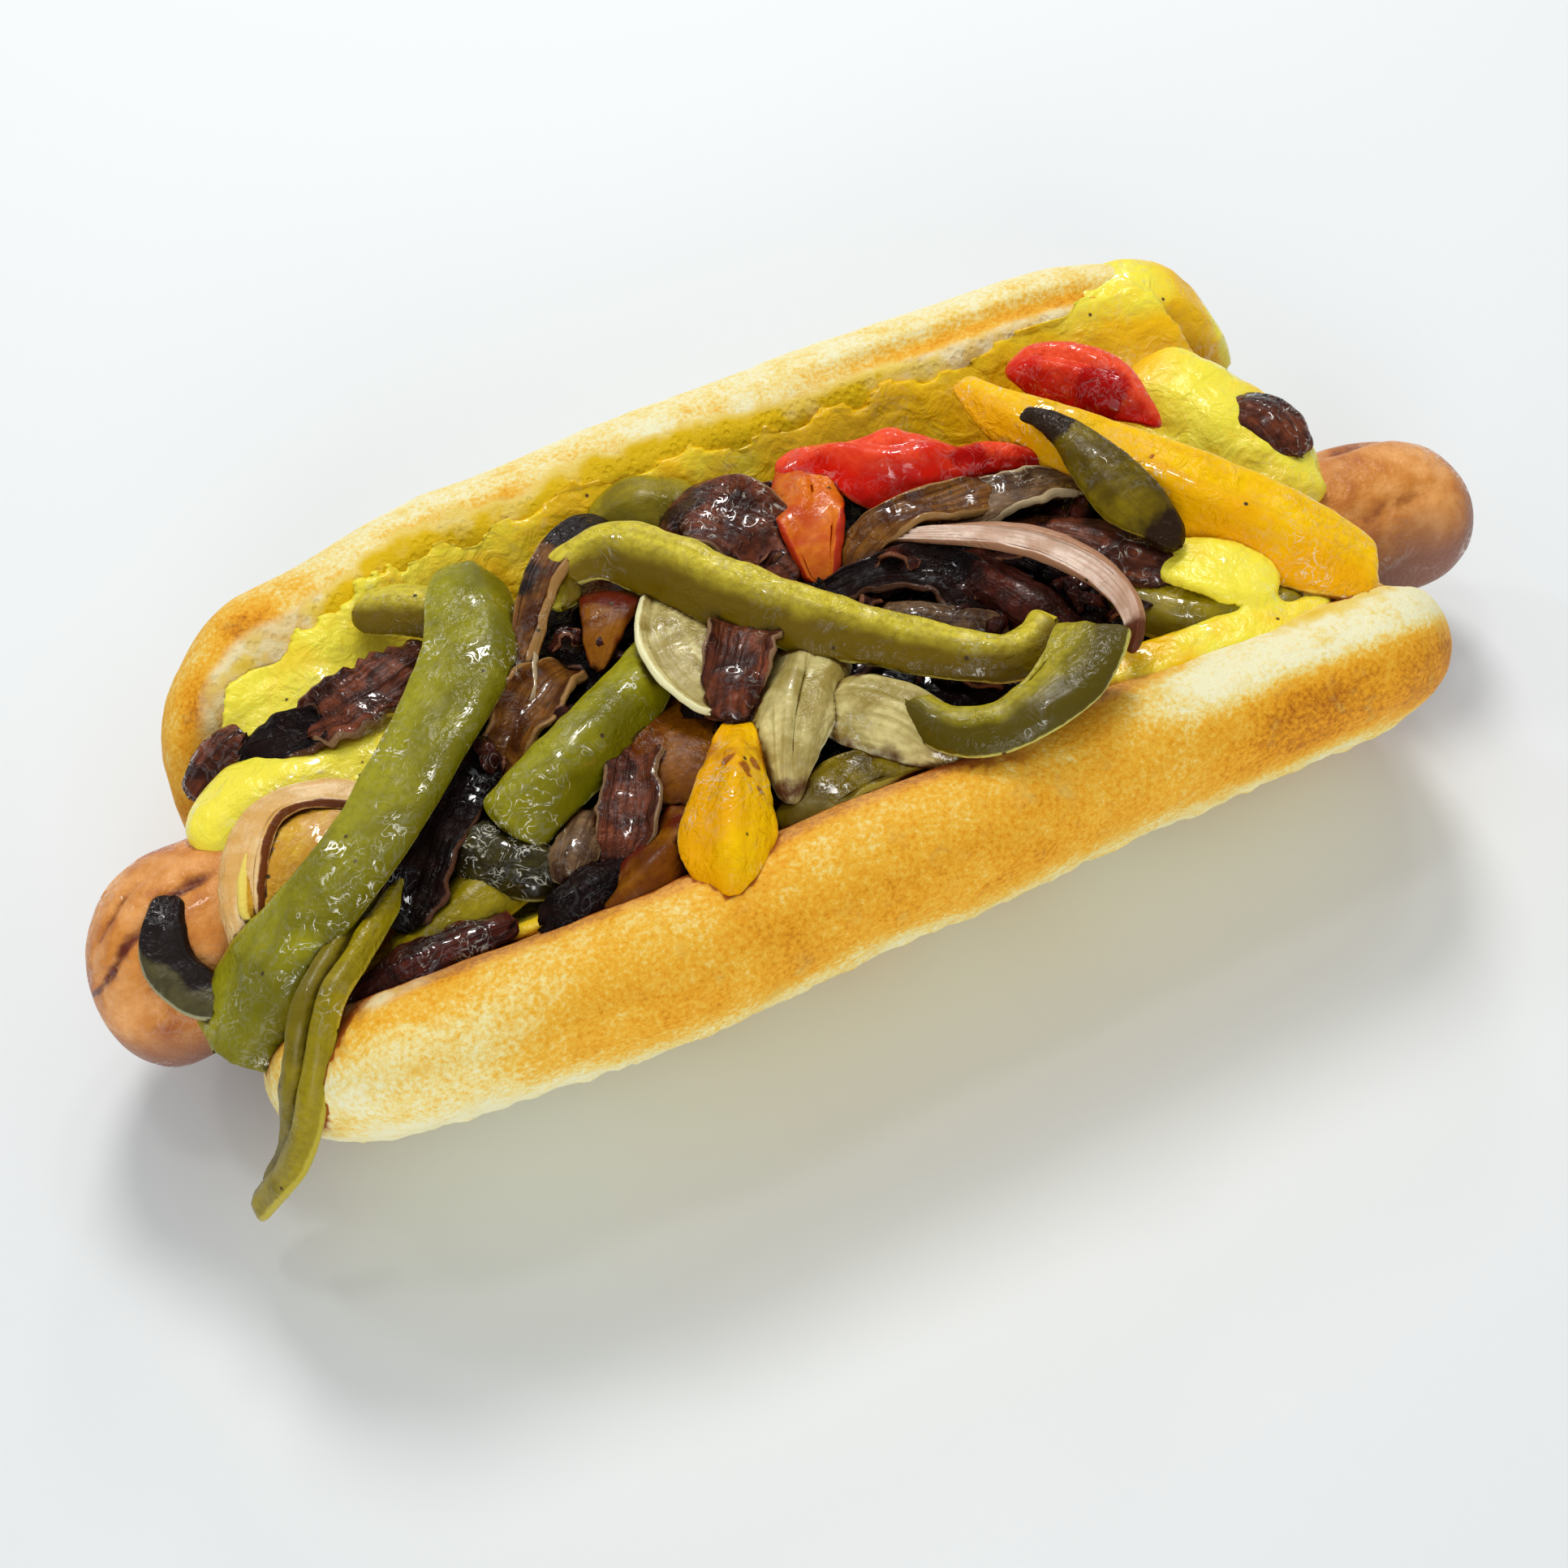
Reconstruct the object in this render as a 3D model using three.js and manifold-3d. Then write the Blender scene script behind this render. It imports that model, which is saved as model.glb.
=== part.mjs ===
// A hot dog in an opened bun, with mustard and a heap of fried peppers and onions.
// Millimetres. +X runs along the bun, +Y is the far half, +Z is up.
// The origin is the middle of the bun's flat underside, on the table.
import * as THREE from "three";
import Module from "manifold-3d";

const wasm = await Module();
wasm.setup();
const { Manifold } = wasm;

const DEG = Math.PI / 180;

// Free space between neighbouring pieces.
const GAP = 0.34;

// How finely each form is cut into facets.
const CRUST_STATIONS = 24;
const CRUST_POINTS = 17;
const FLOOR_STATIONS = 14;
const SAUSAGE_STATIONS = 21;
const SAUSAGE_POINTS = 17;
const HEAP_STATIONS = 10;
const LINING_STATIONS = 17;
const FACET_MERGE = 0.08;
const CRUST_MERGE = 0.012;

// Roundness of the bread: higher powers are squarer.
const LOAF_END_POWER = 13;
const LOAF_END_SOFTNESS = 0.42;
const FLOOR_END_POWER = 8;
const LOAF_SECTION_POWER = 2.3;

// The sausage's domed tips.
const DOME_LENGTH = 11;
const DOME_POWER = 2.2;

// Uniform Catmull-Rom through rows of numbers; t runs from 0 to 1.
function along(rows, t) {
  const n = rows.length - 1;
  const s = Math.min(Math.max(t, 0), 1) * n;
  const i = Math.min(Math.floor(s), n - 1);
  const f = s - i;
  const a = rows[Math.max(i - 1, 0)];
  const b = rows[i];
  const c = rows[i + 1];
  const d = rows[Math.min(i + 2, n)];
  return b.map((v, k) => {
    const m0 = (c[k] - a[k]) / 2;
    const m1 = (d[k] - v) / 2;
    const f2 = f * f;
    const f3 = f2 * f;
    return (
      (2 * f3 - 3 * f2 + 1) * v +
      (f3 - 2 * f2 + f) * m0 +
      (3 * f2 - 2 * f3) * c[k] +
      (f3 - f2) * m1
    );
  });
}

// Eased reading of a table of [x, ...values] at x.
function readAt(rows, x) {
  const last = rows.length - 1;
  if (x <= rows[0][0]) return rows[0].slice(1);
  if (x >= rows[last][0]) return rows[last].slice(1);
  const i = rows.findIndex((r) => r[0] > x);
  const a = rows[i - 1];
  const b = rows[i];
  const f = (x - a[0]) / (b[0] - a[0]);
  const e = f * f * (3 - 2 * f);
  return a.slice(1).map((v, k) => v + (b[k + 1] - v) * e);
}

// A closed solid through rings of equal length, each end closed by a fan.
function loft(rings) {
  const count = rings[0].length;
  const verts = [];
  const tris = [];
  rings.forEach((ring) => ring.forEach((p) => verts.push(...p)));
  for (let i = 0; i < rings.length - 1; i++) {
    for (let j = 0; j < count; j++) {
      const a = i * count + j;
      const b = i * count + ((j + 1) % count);
      tris.push(a, a + count, b, b, a + count, b + count);
    }
  }
  [0, rings.length - 1].forEach((i, side) => {
    const middle = [0, 1, 2].map(
      (k) => rings[i].reduce((sum, p) => sum + p[k], 0) / count,
    );
    const hub = verts.length / 3;
    verts.push(...middle);
    for (let j = 0; j < count; j++) {
      const a = i * count + j;
      const b = i * count + ((j + 1) % count);
      if (side) tris.push(hub, b, a);
      else tris.push(hub, a, b);
    }
  });
  const mesh = { numProp: 3, vertProperties: new Float32Array(verts), triVerts: new Uint32Array(tris) };
  const made = new Manifold(new wasm.Mesh(mesh));
  if (made.volume() > 0) return made;
  for (let i = 0; i < tris.length; i += 3) [tris[i + 1], tris[i + 2]] = [tris[i + 2], tris[i + 1]];
  return new Manifold(new wasm.Mesh({ ...mesh, triVerts: new Uint32Array(tris) }));
}

// How far a rounded end has closed: 1 in the middle, 0 at the tip.
function endScale(x, start, end, power, soft) {
  const middle = (start + end) / 2;
  const half = (end - start) / 2;
  const r = Math.min(Math.abs((x - middle) / half), 1);
  return Math.pow(Math.max(1 - Math.pow(r, power), 0), soft);
}

// Stations crowd towards the two ends, where a bread end turns round.
function stations(start, end, count) {
  return Array.from({ length: count }, (_, i) => {
    const u = (i / (count - 1)) * 2 - 1;
    const eased = Math.sin((u * Math.PI) / 2) * 0.45 + u * 0.55;
    const x = (start + end) / 2 + (eased * (end - start)) / 2;
    return Math.min(Math.max(x, start + 0.12), end - 0.12);
  });
}

// A station moved outward in step with a grown copy of the solid.
function spread(x, start, end, grow) {
  const middle = (start + end) / 2;
  return middle + ((x - middle) * ((end - start) / 2 + grow)) / ((end - start) / 2);
}

// One half of the bun: an oval log with a flat cut face on the inside.
// Rows: x, rim y, rim z, lean from upright in degrees, height radius, depth of the cut, thickness.
const NEAR_HALF = {
  start: -76.5,
  end: 74.5,
  side: -1,
  rows: [
    [-78, -31.5, 31, 36, 17, 7, 15.5],
    [-60, -34.5, 34.5, 37, 20, 7.5, 17],
    [-30, -35.5, 36.3, 37, 21.3, 7.5, 18],
    [0, -32.8, 36.3, 37, 21.5, 7.5, 18.2],
    [30, -30.2, 36, 37, 21.5, 7.5, 18.2],
    [60, -28.4, 35.6, 37, 21, 7.5, 18],
    [75, -27.5, 34, 37, 20, 7.5, 17.5],
  ],
};
const FAR_HALF = {
  start: -77,
  end: 75,
  side: 1,
  rows: [
    [-75, 16, 32, 42, 20, 8.2, 18.5],
    [-60, 21, 33.8, 42, 21.2, 8.3, 19.2],
    [-34, 26.5, 34.5, 42, 22, 8.4, 19.6],
    [0, 28, 34.6, 40, 22.3, 8.6, 19.6],
    [25, 29.2, 34.8, 39, 23, 8.6, 19.8],
    [50, 30, 35, 39, 22, 8.5, 19.6],
    [75, 28, 33.5, 38, 21, 8.3, 19],
  ],
};

function halfRing(half, x, grow) {
  const [rimY, rimZ, lean, tall, depth, whole] = readAt(half.rows, x);
  const s = endScale(x, half.start, half.end, LOAF_END_POWER, LOAF_END_SOFTNESS);
  const thick = whole - depth;
  const up = [half.side * Math.sin(lean * DEG), Math.cos(lean * DEG)];
  const out = [half.side * Math.cos(lean * DEG), -Math.sin(lean * DEG)];
  const power = LOAF_SECTION_POWER;
  const cutU = tall * Math.pow(1 - Math.pow(depth / thick, power), 1 / power);
  const middle = [rimY - up[0] * cutU + out[0] * depth, rimZ - up[1] * cutU + out[1] * depth];
  const ru = tall * s + grow;
  const rw = thick * s + grow;
  const cut = -depth * s - grow;
  const first = Math.asin(Math.min(-cut / rw, 1));
  const step = (Math.PI + 2 * first) / (CRUST_POINTS - 1);
  const angles = Array.from({ length: CRUST_POINTS }, (_, i) => -first + step * i);
  const oval = angles.map((a) => {
    const c = Math.cos(a);
    const w = Math.sin(a);
    const stretch = Math.pow(Math.pow(Math.abs(c), power) + Math.pow(Math.abs(w), power), -1 / power);
    return [ru * c * stretch, Math.max(rw * w * stretch, cut)];
  });
  const at = spread(x, half.start, half.end, grow);
  const point = ([u, w]) => [at, middle[0] + up[0] * u + out[0] * w, middle[1] + up[1] * u + out[1] * w];
  return oval.map(point);
}

function halfSolid(half, grow) {
  const xs = stations(half.start, half.end, CRUST_STATIONS);
  return loft(xs.map((x) => halfRing(half, x, grow)));
}

// The bread under the sausage that joins the halves, flat below and turned up at its ends.
const FLOOR = { start: -71, end: 67, halfWidth: 19, thick: 4.4, upturn: 3.4, slant: 0.04 };
function floorSolid(grow) {
  const xs = stations(FLOOR.start, FLOOR.end, FLOOR_STATIONS);
  return loft(
    xs.map((v) => {
      const s = endScale(v, FLOOR.start, FLOOR.end, FLOOR_END_POWER, LOAF_END_SOFTNESS);
      const x = spread(v, FLOOR.start, FLOOR.end, grow);
      const w = FLOOR.halfWidth * (0.25 + 0.75 * s);
      const top = FLOOR.thick * (0.4 + 0.6 * s) + grow;
      const under = -1 + FLOOR.upturn * (1 - s) - grow;
      const lean = x * FLOOR.slant;
      return [
        [x, lean - w - grow, under],
        [x, lean + w + grow, under],
        [x, lean + w + grow, top + 4],
        [x, lean + w - grow, top + 4],
        [x, lean + w * 0.62 - grow, top + 1],
        [x, lean, top],
        [x, lean - w * 0.62 + grow, top + 1],
        [x, lean - w + grow, top + 4],
        [x, lean - w - grow, top + 4],
      ];
    }),
  );
}

function bunSolid(grow) {
  const whole = Manifold.union([halfSolid(NEAR_HALF, grow), halfSolid(FAR_HALF, grow), floorSolid(grow)]);
  return whole.trimByPlane([0, 0, 1], grow > 0 ? -grow : 0);
}

// The sausage. Rows: x, y, z, radius.
const SAUSAGE = [
  [-92, -10.5, 17, 13],
  [-78, -8.6, 17.8, 13.2],
  [-40, -4.5, 18.6, 11.9],
  [0, -2.6, 18.2, 11.4],
  [40, -2.6, 17.6, 10.9],
  [75, -4.6, 17.6, 10.3],
  [92, -6.2, 17.2, 9.8],
];
function sausageSolid(grow) {
  const start = SAUSAGE[0][0];
  const end = SAUSAGE[SAUSAGE.length - 1][0];
  const xs = stations(start, end, SAUSAGE_STATIONS);
  return loft(
    xs.map((x) => {
      const [y, z, r] = readAt(SAUSAGE, x);
      const fromTip = Math.min(x - start, end - x) / DOME_LENGTH;
      const s = fromTip < 1 ? Math.sqrt(1 - Math.pow(1 - fromTip, DOME_POWER)) : 1;
      const radius = r * s + grow;
      const at = spread(x, start, end, grow);
      return Array.from({ length: SAUSAGE_POINTS }, (_, j) => {
        const a = (j / SAUSAGE_POINTS) * Math.PI * 2;
        return [at, y + Math.cos(a) * radius, z + Math.sin(a) * radius];
      });
    }),
  );
}

// A strip of pepper or onion: a thin curved band along a route.
// Rows: x, y, z, width, tilt in degrees about the route.
function stripSolid(strip, grow) {
  const count = strip.stations;
  const rings = [];
  for (let i = 0; i < count; i++) {
    const t = i / (count - 1);
    const [x, y, z, width, tilt] = along(strip.rows, t);
    const before = along(strip.rows, Math.max(t - 0.02, 0));
    const after = along(strip.rows, Math.min(t + 0.02, 1));
    const T = new THREE.Vector3(after[0] - before[0], after[1] - before[1], after[2] - before[2]).normalize();
    const A0 = new THREE.Vector3(0, 0, 1).cross(T).normalize();
    const N0 = T.clone().cross(A0);
    const A = A0.clone().multiplyScalar(Math.cos(tilt * DEG)).addScaledVector(N0, Math.sin(tilt * DEG));
    const N = T.clone().cross(A);
    const edge = Math.min(t, 1 - t) * (count - 1);
    const tip = edge < 0.5 ? (strip.square ? 0.9 : 0.55) : edge < 1.5 ? (strip.square ? 1 : 0.88) : 1;
    const half = (width / 2) * tip + grow;
    const thick = (strip.thick / 2) * (edge < 0.5 ? 0.7 : 1) + grow;
    const shift = i === 0 ? -grow : i === count - 1 ? grow : 0;
    const centre = new THREE.Vector3(x, y, z).addScaledVector(T, shift);
    const at = (s, side) => {
      const bulge = strip.crown * width * (1 - s * s);
      const lift = bulge + side * thick * (Math.abs(s) > 0.9 ? 0.6 : 1);
      const p = centre.clone().addScaledVector(A, s * half).addScaledVector(N, lift);
      return [p.x, p.y, p.z];
    };
    const top = [-1, -0.42, 0.42, 1].map((s) => at(s, 1));
    const bottom = [1, 0.42, -0.42, -1].map((s) => at(s, -1));
    rings.push([...top, ...bottom]);
  }
  return loft(rings);
}

// Strips from the top of the heap down: a lower one is trimmed clear of those above it.
const GREEN = 0x8a9a32;
const OLIVE = 0x6b6a1e;
const YELLOW = 0xe8b015;
const RED = 0xc8301c;
const PALE = 0xcfc79a;
const BROWN = 0x8a5a2a;
const DARK = 0x33211f;

const STRIPS = [
  {
    name: "olive_pepper_sliver", colour: OLIVE, thick: 2.2, crown: 0.08, stations: 8,
    rows: [
      [36, 8, 42.5, 2, 0], [39, 3, 43, 4, 0], [40, -5, 43, 6, 0], [41, -10, 42, 7, 0],
      [43, -13, 40, 5, 0],
    ],
  },
  {
    name: "green_pepper_long", colour: GREEN, thick: 2.8, crown: 0.08, stations: 17, square: true,
    rows: [
      [-34, 18, 37, 8, -10], [-37, 11, 38, 12, -5], [-42, 1, 38.5, 12, 0], [-49, -8, 39.5, 9, 0],
      [-57, -16, 38.5, 8.5, 0], [-65, -22, 36, 9, 5], [-71, -25, 31, 12, 10], [-78, -27, 24, 14, 12],
    ],
  },
  {
    name: "yellow_pepper_long", colour: YELLOW, thick: 3.2, crown: 0.1, stations: 14,
    rows: [
      [32, 23, 37, 6, 20], [35, 13, 38.5, 8, 15], [40, 3, 39.5, 10, 10], [47, -5, 39.5, 11, 5],
      [54, -13, 38.5, 12, 0], [59, -20, 37, 12.5, 0], [64, -25, 35.5, 11, 0],
    ],
  },
  {
    name: "green_pepper_hook", colour: GREEN, thick: 2.6, crown: 0.08, stations: 11,
    rows: [
      [6, -24, 38.5, 3, 0], [8, -29, 40, 5, 0], [13, -32, 41, 6, -10],
      [19, -32, 42, 8, -15], [24, -29, 42.5, 9, -15], [28, -25, 42, 7, -10],
    ],
  },
  {
    name: "green_pepper_ridge", colour: GREEN, thick: 2.8, crown: 0.08, stations: 15,
    rows: [
      [-28, 9, 35, 5, 0], [-23, 11, 39.5, 5, 10], [-17, 8, 41.5, 7, 15], [-11, 2, 41.5, 8, 10],
      [-6, -7, 41.5, 8, 5], [2, -13, 41, 8, 0], [9, -19, 40, 6.5, 0], [17, -22, 38.5, 7, 0], [25, -20, 37.5, 5, 0],
    ],
  },
  {
    name: "green_pepper_fold", colour: GREEN, thick: 2.6, crown: 0.12, stations: 9,
    rows: [
      [-19, -3, 37, 4, 0], [-23, -10, 38.5, 9, 0], [-30, -13, 39, 10, 0], [-37, -16, 38, 10, 0],
      [-42, -17, 36, 8, 0],
    ],
  },
  {
    name: "red_pepper_crescent", colour: RED, thick: 2.4, crown: 0.16, stations: 8,
    rows: [
      [38, 23.5, 35.5, 4, 20], [43, 21.5, 37.3, 8, 28], [49, 17, 37.3, 9, 28], [52.5, 12, 36.3, 8, 25],
      [54.5, 7.5, 34.5, 4, 20],
    ],
  },
  {
    name: "red_pepper_flag", colour: RED, thick: 2.6, crown: 0.14, stations: 9,
    rows: [
      [5, 17.5, 36, 7, 15], [11, 15, 37.8, 9, 22], [18, 12.5, 38, 10, 25], [26, 10.5, 36.8, 8, 22],
      [36, 10, 34.5, 4, 20],
    ],
    extra: {
      thick: 2.4, crown: 0.1, stations: 6,
      rows: [[7, 16.5, 37, 8, 0], [6, 9, 38, 8, 0], [3, 0, 36.5, 4, 0]],
    },
  },
  {
    name: "onion_ring_pale", colour: PALE, thick: 1.3, crown: 0.02, stations: 14,
    rows: [
      [14, 1, 37, 3, 60], [20, -4, 39.3, 4, 60], [25, -8, 40.3, 5, 60], [29, -14, 40.3, 5, 60],
      [31.5, -20, 39.8, 5, 60], [32, -26, 38.2, 5, 60], [29, -30.5, 36.5, 4, 60],
    ],
  },
  {
    name: "onion_char_petal", colour: DARK, thick: 1.8, crown: 0.1, stations: 6,
    rows: [[-6, -6, 38.5, 5, 0], [-11, -11, 40.5, 9, 0], [-14, -16.5, 39.5, 7, 0]],
  },
  {
    name: "onion_petal_left", colour: PALE, thick: 1.8, crown: 0.14, stations: 8,
    rows: [[-14, 2, 37, 9, 0], [-16, -5, 38, 11, 0], [-16, -11, 37.5, 10, 0], [-12, -16, 36, 6, 0]],
  },
  {
    name: "onion_petal_fan", colour: PALE, thick: 1.8, crown: 0.14, stations: 8,
    rows: [[-1, -12, 37, 11, 0], [-6.5, -17, 38, 12, 0], [-9, -23, 37.5, 10, 0], [-11, -29, 36, 6, 0]],
  },
  {
    name: "onion_petal_right", colour: PALE, thick: 1.8, crown: 0.14, stations: 8,
    rows: [[-5, -20.5, 36, 6, 0], [0, -23, 37.3, 11, 0], [4.5, -26.5, 37.5, 12, 0], [9, -31, 37, 8, 0]],
  },
  {
    name: "yellow_pepper_tip", colour: YELLOW, thick: 3, crown: 0.12, stations: 9,
    rows: [
      [-13, -18, 35, 4, 0], [-16, -25, 38, 7.5, 0], [-20, -32, 40, 9.5, 0], [-22, -35.5, 40, 8, 0],
      [-22.5, -38.5, 38.5, 4, 0],
    ],
  },
  {
    name: "onion_chunk_dark", colour: DARK, thick: 3, crown: 0.16, stations: 8,
    rows: [[-10, 13, 35, 7, 0], [-5, 13.5, 37.5, 12, 0], [-1, 8, 37, 11, 0], [2, 2, 36, 7, 0]],
  },
  {
    name: "onion_arc_left", colour: BROWN, thick: 1.6, crown: 0.05, stations: 10,
    rows: [
      [-17, 17, 35.5, 5, 30], [-22, 17, 37, 6, 40], [-27, 12, 37.2, 7, 50], [-30.5, 7, 36.2, 7, 50],
      [-35, 1, 34.5, 6, 40],
    ],
  },
  {
    name: "yellow_pepper_wedge", colour: YELLOW, thick: 2.6, crown: 0.08, stations: 6,
    rows: [[-19.5, 8, 35.5, 10, 0], [-22, 3, 36, 8, 0], [-25, -2, 34.5, 4, 0]],
  },
  {
    name: "onion_petal_brown", colour: BROWN, thick: 1.8, crown: 0.16, stations: 8,
    rows: [[25, 2.5, 36, 7, 0], [18, 3, 37.3, 10, 0], [11, 1, 37, 11, 0], [4, -1, 35, 7, 0]],
  },
  {
    name: "onion_strip_grey", colour: BROWN, thick: 1.8, crown: 0.12, stations: 8,
    rows: [[40, 2, 34.5, 4, 10], [33, 2, 36.5, 6, 20], [26, 2, 37, 8, 20], [21, 2, 36, 4, 20]],
  },
  {
    name: "onion_strip_purple", colour: DARK, thick: 1.8, crown: 0.1, stations: 8,
    rows: [[30, -2, 35.5, 4, 0], [35, -7, 36, 7, 0], [40, -13, 36, 7, 0], [45.5, -17.5, 35, 4, 0]],
  },
  {
    name: "onion_strip_deep", colour: DARK, thick: 1.8, crown: 0.1, stations: 7,
    rows: [[21.5, -5, 35.5, 5, 0], [24, -10, 36, 8, 0], [27, -16, 36, 9, 0], [31, -21, 34.5, 6, 0]],
  },
  {
    name: "onion_strip_black", colour: DARK, thick: 1.8, crown: 0.1, stations: 8,
    rows: [
      [4, -3.5, 34.5, 4, 0], [13, -5, 35, 6.5, 0], [19, -7, 35, 8, 0], [21, -13, 34, 7, 0],
      [21, -19, 33, 5, 0],
    ],
  },
  {
    name: "olive_pepper_back", colour: OLIVE, thick: 2, crown: 0.1, stations: 5,
    rows: [[-16, 21.5, 33.5, 5, 10], [-11, 20.5, 35.2, 8, 10], [-5.5, 18, 34, 6, 10]],
  },
  {
    name: "onion_ring_brown", colour: BROWN, thick: 1.6, crown: 0.08, stations: 12,
    rows: [
      [-56, -8, 33.5, 6, 20], [-61, -7, 34.8, 7.5, 20], [-66, -8.5, 34.8, 8.5, 20],
      [-69, -12.5, 33.8, 8, 15], [-70.5, -17, 32.2, 7, 10], [-72, -22, 29.5, 5, 0],
    ],
  },
  {
    name: "green_pepper_tail", colour: OLIVE, thick: 2.4, crown: 0.06, stations: 13,
    rows: [
      [-50, -12, 33, 5, 0], [-56, -20, 33.3, 6, 0], [-62, -27.5, 34.4, 6.5, 5], [-67.5, -34.8, 35.8, 6.5, 10],
      [-72, -40, 30, 5.5, 10], [-76, -41, 19.5, 5, 10], [-81, -38.5, 9.5, 4.6, 10],
    ],
  },
  {
    name: "olive_pepper_left", colour: OLIVE, thick: 2.2, crown: 0.1, stations: 5,
    rows: [[-48, 19, 34.5, 5, 10], [-44, 16, 35.8, 6, 10], [-40, 12.5, 34.8, 5, 10]],
  },
  {
    name: "pepper_membrane", colour: OLIVE, thick: 1.6, crown: 0.2, stations: 6,
    rows: [
      [-46, -16, 32.5, 6, 0], [-44.5, -20.5, 34, 9, 0], [-41, -23.5, 34, 8, 0], [-36, -24.5, 33, 5, 0],
    ],
  },
  {
    name: "onion_scrap_brown", colour: BROWN, thick: 1.8, crown: 0.14, stations: 6,
    rows: [[-28, -1, 34.2, 5, 0], [-34, -4, 35.5, 9, 0], [-39.5, -8, 34.5, 6, 0]],
  },
  {
    name: "onion_strip_shadow", colour: DARK, thick: 1.8, crown: 0.1, stations: 9,
    rows: [[-38, -2, 33.2, 5, 0], [-45, -10, 34, 8, 0], [-51.5, -19, 33.8, 8, 0], [-56, -27, 32.8, 5, 0]],
  },
  {
    name: "yellow_pepper_patch", colour: BROWN, thick: 2, crown: 0.1, stations: 5,
    rows: [[-22, -10.5, 34, 8, 0], [-20, -17, 35, 12, 0], [-20, -22.5, 34.5, 10, 0]],
  },
  {
    name: "yellow_pepper_low", colour: YELLOW, thick: 2.6, crown: 0.1, stations: 6,
    rows: [[-22, -25, 34.5, 7, 0], [-27, -29, 36.5, 10, 0], [-34, -32.5, 36.5, 7, 0]],
  },
  {
    name: "onion_strip_left", colour: DARK, thick: 1.8, crown: 0.1, stations: 7,
    rows: [
      [-24.5, -15, 33.5, 4, 0], [-28, -20, 35, 7, 0], [-29, -25.5, 34.5, 7, 0], [-33, -28, 33.5, 4, 0],
    ],
  },
  {
    name: "onion_scrap_pink", colour: BROWN, thick: 2, crown: 0.12, stations: 5,
    rows: [[-32.5, -21.5, 33.5, 4, 0], [-36, -26, 35, 6.5, 0], [-39, -29, 34, 5, 0]],
  },
  {
    name: "onion_scrap_dark", colour: DARK, thick: 2.2, crown: 0.12, stations: 5,
    rows: [[-33, -31, 33.5, 4, 0], [-37, -32.3, 35.3, 6, 0], [-41, -33, 34.3, 4, 0]],
  },
  {
    name: "onion_scrap_rim", colour: DARK, thick: 1.8, crown: 0.1, stations: 7,
    rows: [
      [-47, -32, 33.5, 4, 0], [-54, -32.5, 34.3, 5, 0], [-59, -32, 33.8, 5, 0], [-63, -32.5, 32, 4, 0],
    ],
  },
  {
    name: "olive_pepper_rim_left", colour: OLIVE, thick: 2.2, crown: 0.08, stations: 6,
    rows: [[-44, -24, 32, 6, 0], [-50, -26.5, 32.5, 7, 0], [-56, -29, 31, 5, 0]],
  },
  {
    name: "olive_pepper_rim_mid", colour: OLIVE, thick: 2.2, crown: 0.08, stations: 6,
    rows: [[3, -28, 33.5, 6, 0], [-5, -27.5, 34, 8, 0], [-13, -31, 34, 7, 0]],
  },
  {
    name: "olive_pepper_rim_right", colour: OLIVE, thick: 2.2, crown: 0.08, stations: 7,
    rows: [[37, -14, 32.5, 6, 0], [41, -20.5, 33.8, 8, 0], [47, -24, 33.8, 9, 0], [57, -23.5, 32.5, 6, 0]],
  },
  {
    name: "onion_char_curl", colour: DARK, thick: 2, crown: 0.06, stations: 8,
    rows: [
      [-79, -8, 31.5, 4, 0], [-82.5, -11.5, 31.3, 6, 0], [-83, -17, 29.8, 6.5, 0],
      [-79, -21.5, 28, 5.5, 0],
    ],
  },
  {
    name: "onion_char_low", colour: DARK, thick: 1.8, crown: 0.1, stations: 5,
    rows: [[-75, 8.5, 24.5, 4, 20], [-70.5, 10.5, 28.8, 7, 20], [-66.5, 11, 30.6, 4, 20]],
  },
  {
    name: "onion_char_mid", colour: DARK, thick: 1.8, crown: 0.1, stations: 5,
    rows: [[-67.5, 8, 30, 6, 20], [-62, 7.8, 31.8, 7.5, 20], [-57.5, 7.2, 32.2, 6, 20]],
  },
  {
    name: "onion_char_high", colour: DARK, thick: 1.8, crown: 0.12, stations: 6,
    rows: [
      [-58, 8, 32.3, 6, 20], [-53, 8, 33.8, 8.5, 20], [-48.5, 9.5, 34, 8, 20], [-44, 11.5, 33.2, 5, 20],
    ],
  },
  {
    name: "onion_char_right", colour: DARK, thick: 2, crown: 0.14, stations: 5,
    rows: [[63, 7.5, 34, 7, 0], [66.5, 3, 34.5, 9, 0], [69.5, -2, 32, 6, 0]],
  },
];

// The dark soft heap under the strips. Rows: x, middle y, half width, top z.
const HEAP = [
  [-54, -12, 9, 31.5],
  [-42, -7, 16, 33],
  [-25, -6, 21, 34],
  [0, -4, 23, 34.5],
  [25, -5, 21, 34],
  [40, -6, 15, 33],
  [51, -9, 8, 31.5],
];
function heapSolid(grow) {
  const xs = stations(HEAP[0][0], HEAP[HEAP.length - 1][0], HEAP_STATIONS);
  return loft(
    xs.map((v) => {
      const [y, half, crest] = readAt(HEAP, v);
      const x = spread(v, xs[0], xs[xs.length - 1], grow);
      const w = half + 1.6 * grow;
      const top = crest + grow;
      return [
        [x, y - w, crest - 3.5],
        [x, y - w * 0.5, top - 0.6],
        [x, y, top],
        [x, y + w * 0.5, top - 1],
        [x, y + w, crest - 5],
        [x, y + half * 0.45 + grow, 24 - grow],
        [x, y - half * 0.45 - grow, 24 - grow],
      ];
    }),
  );
}

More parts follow.
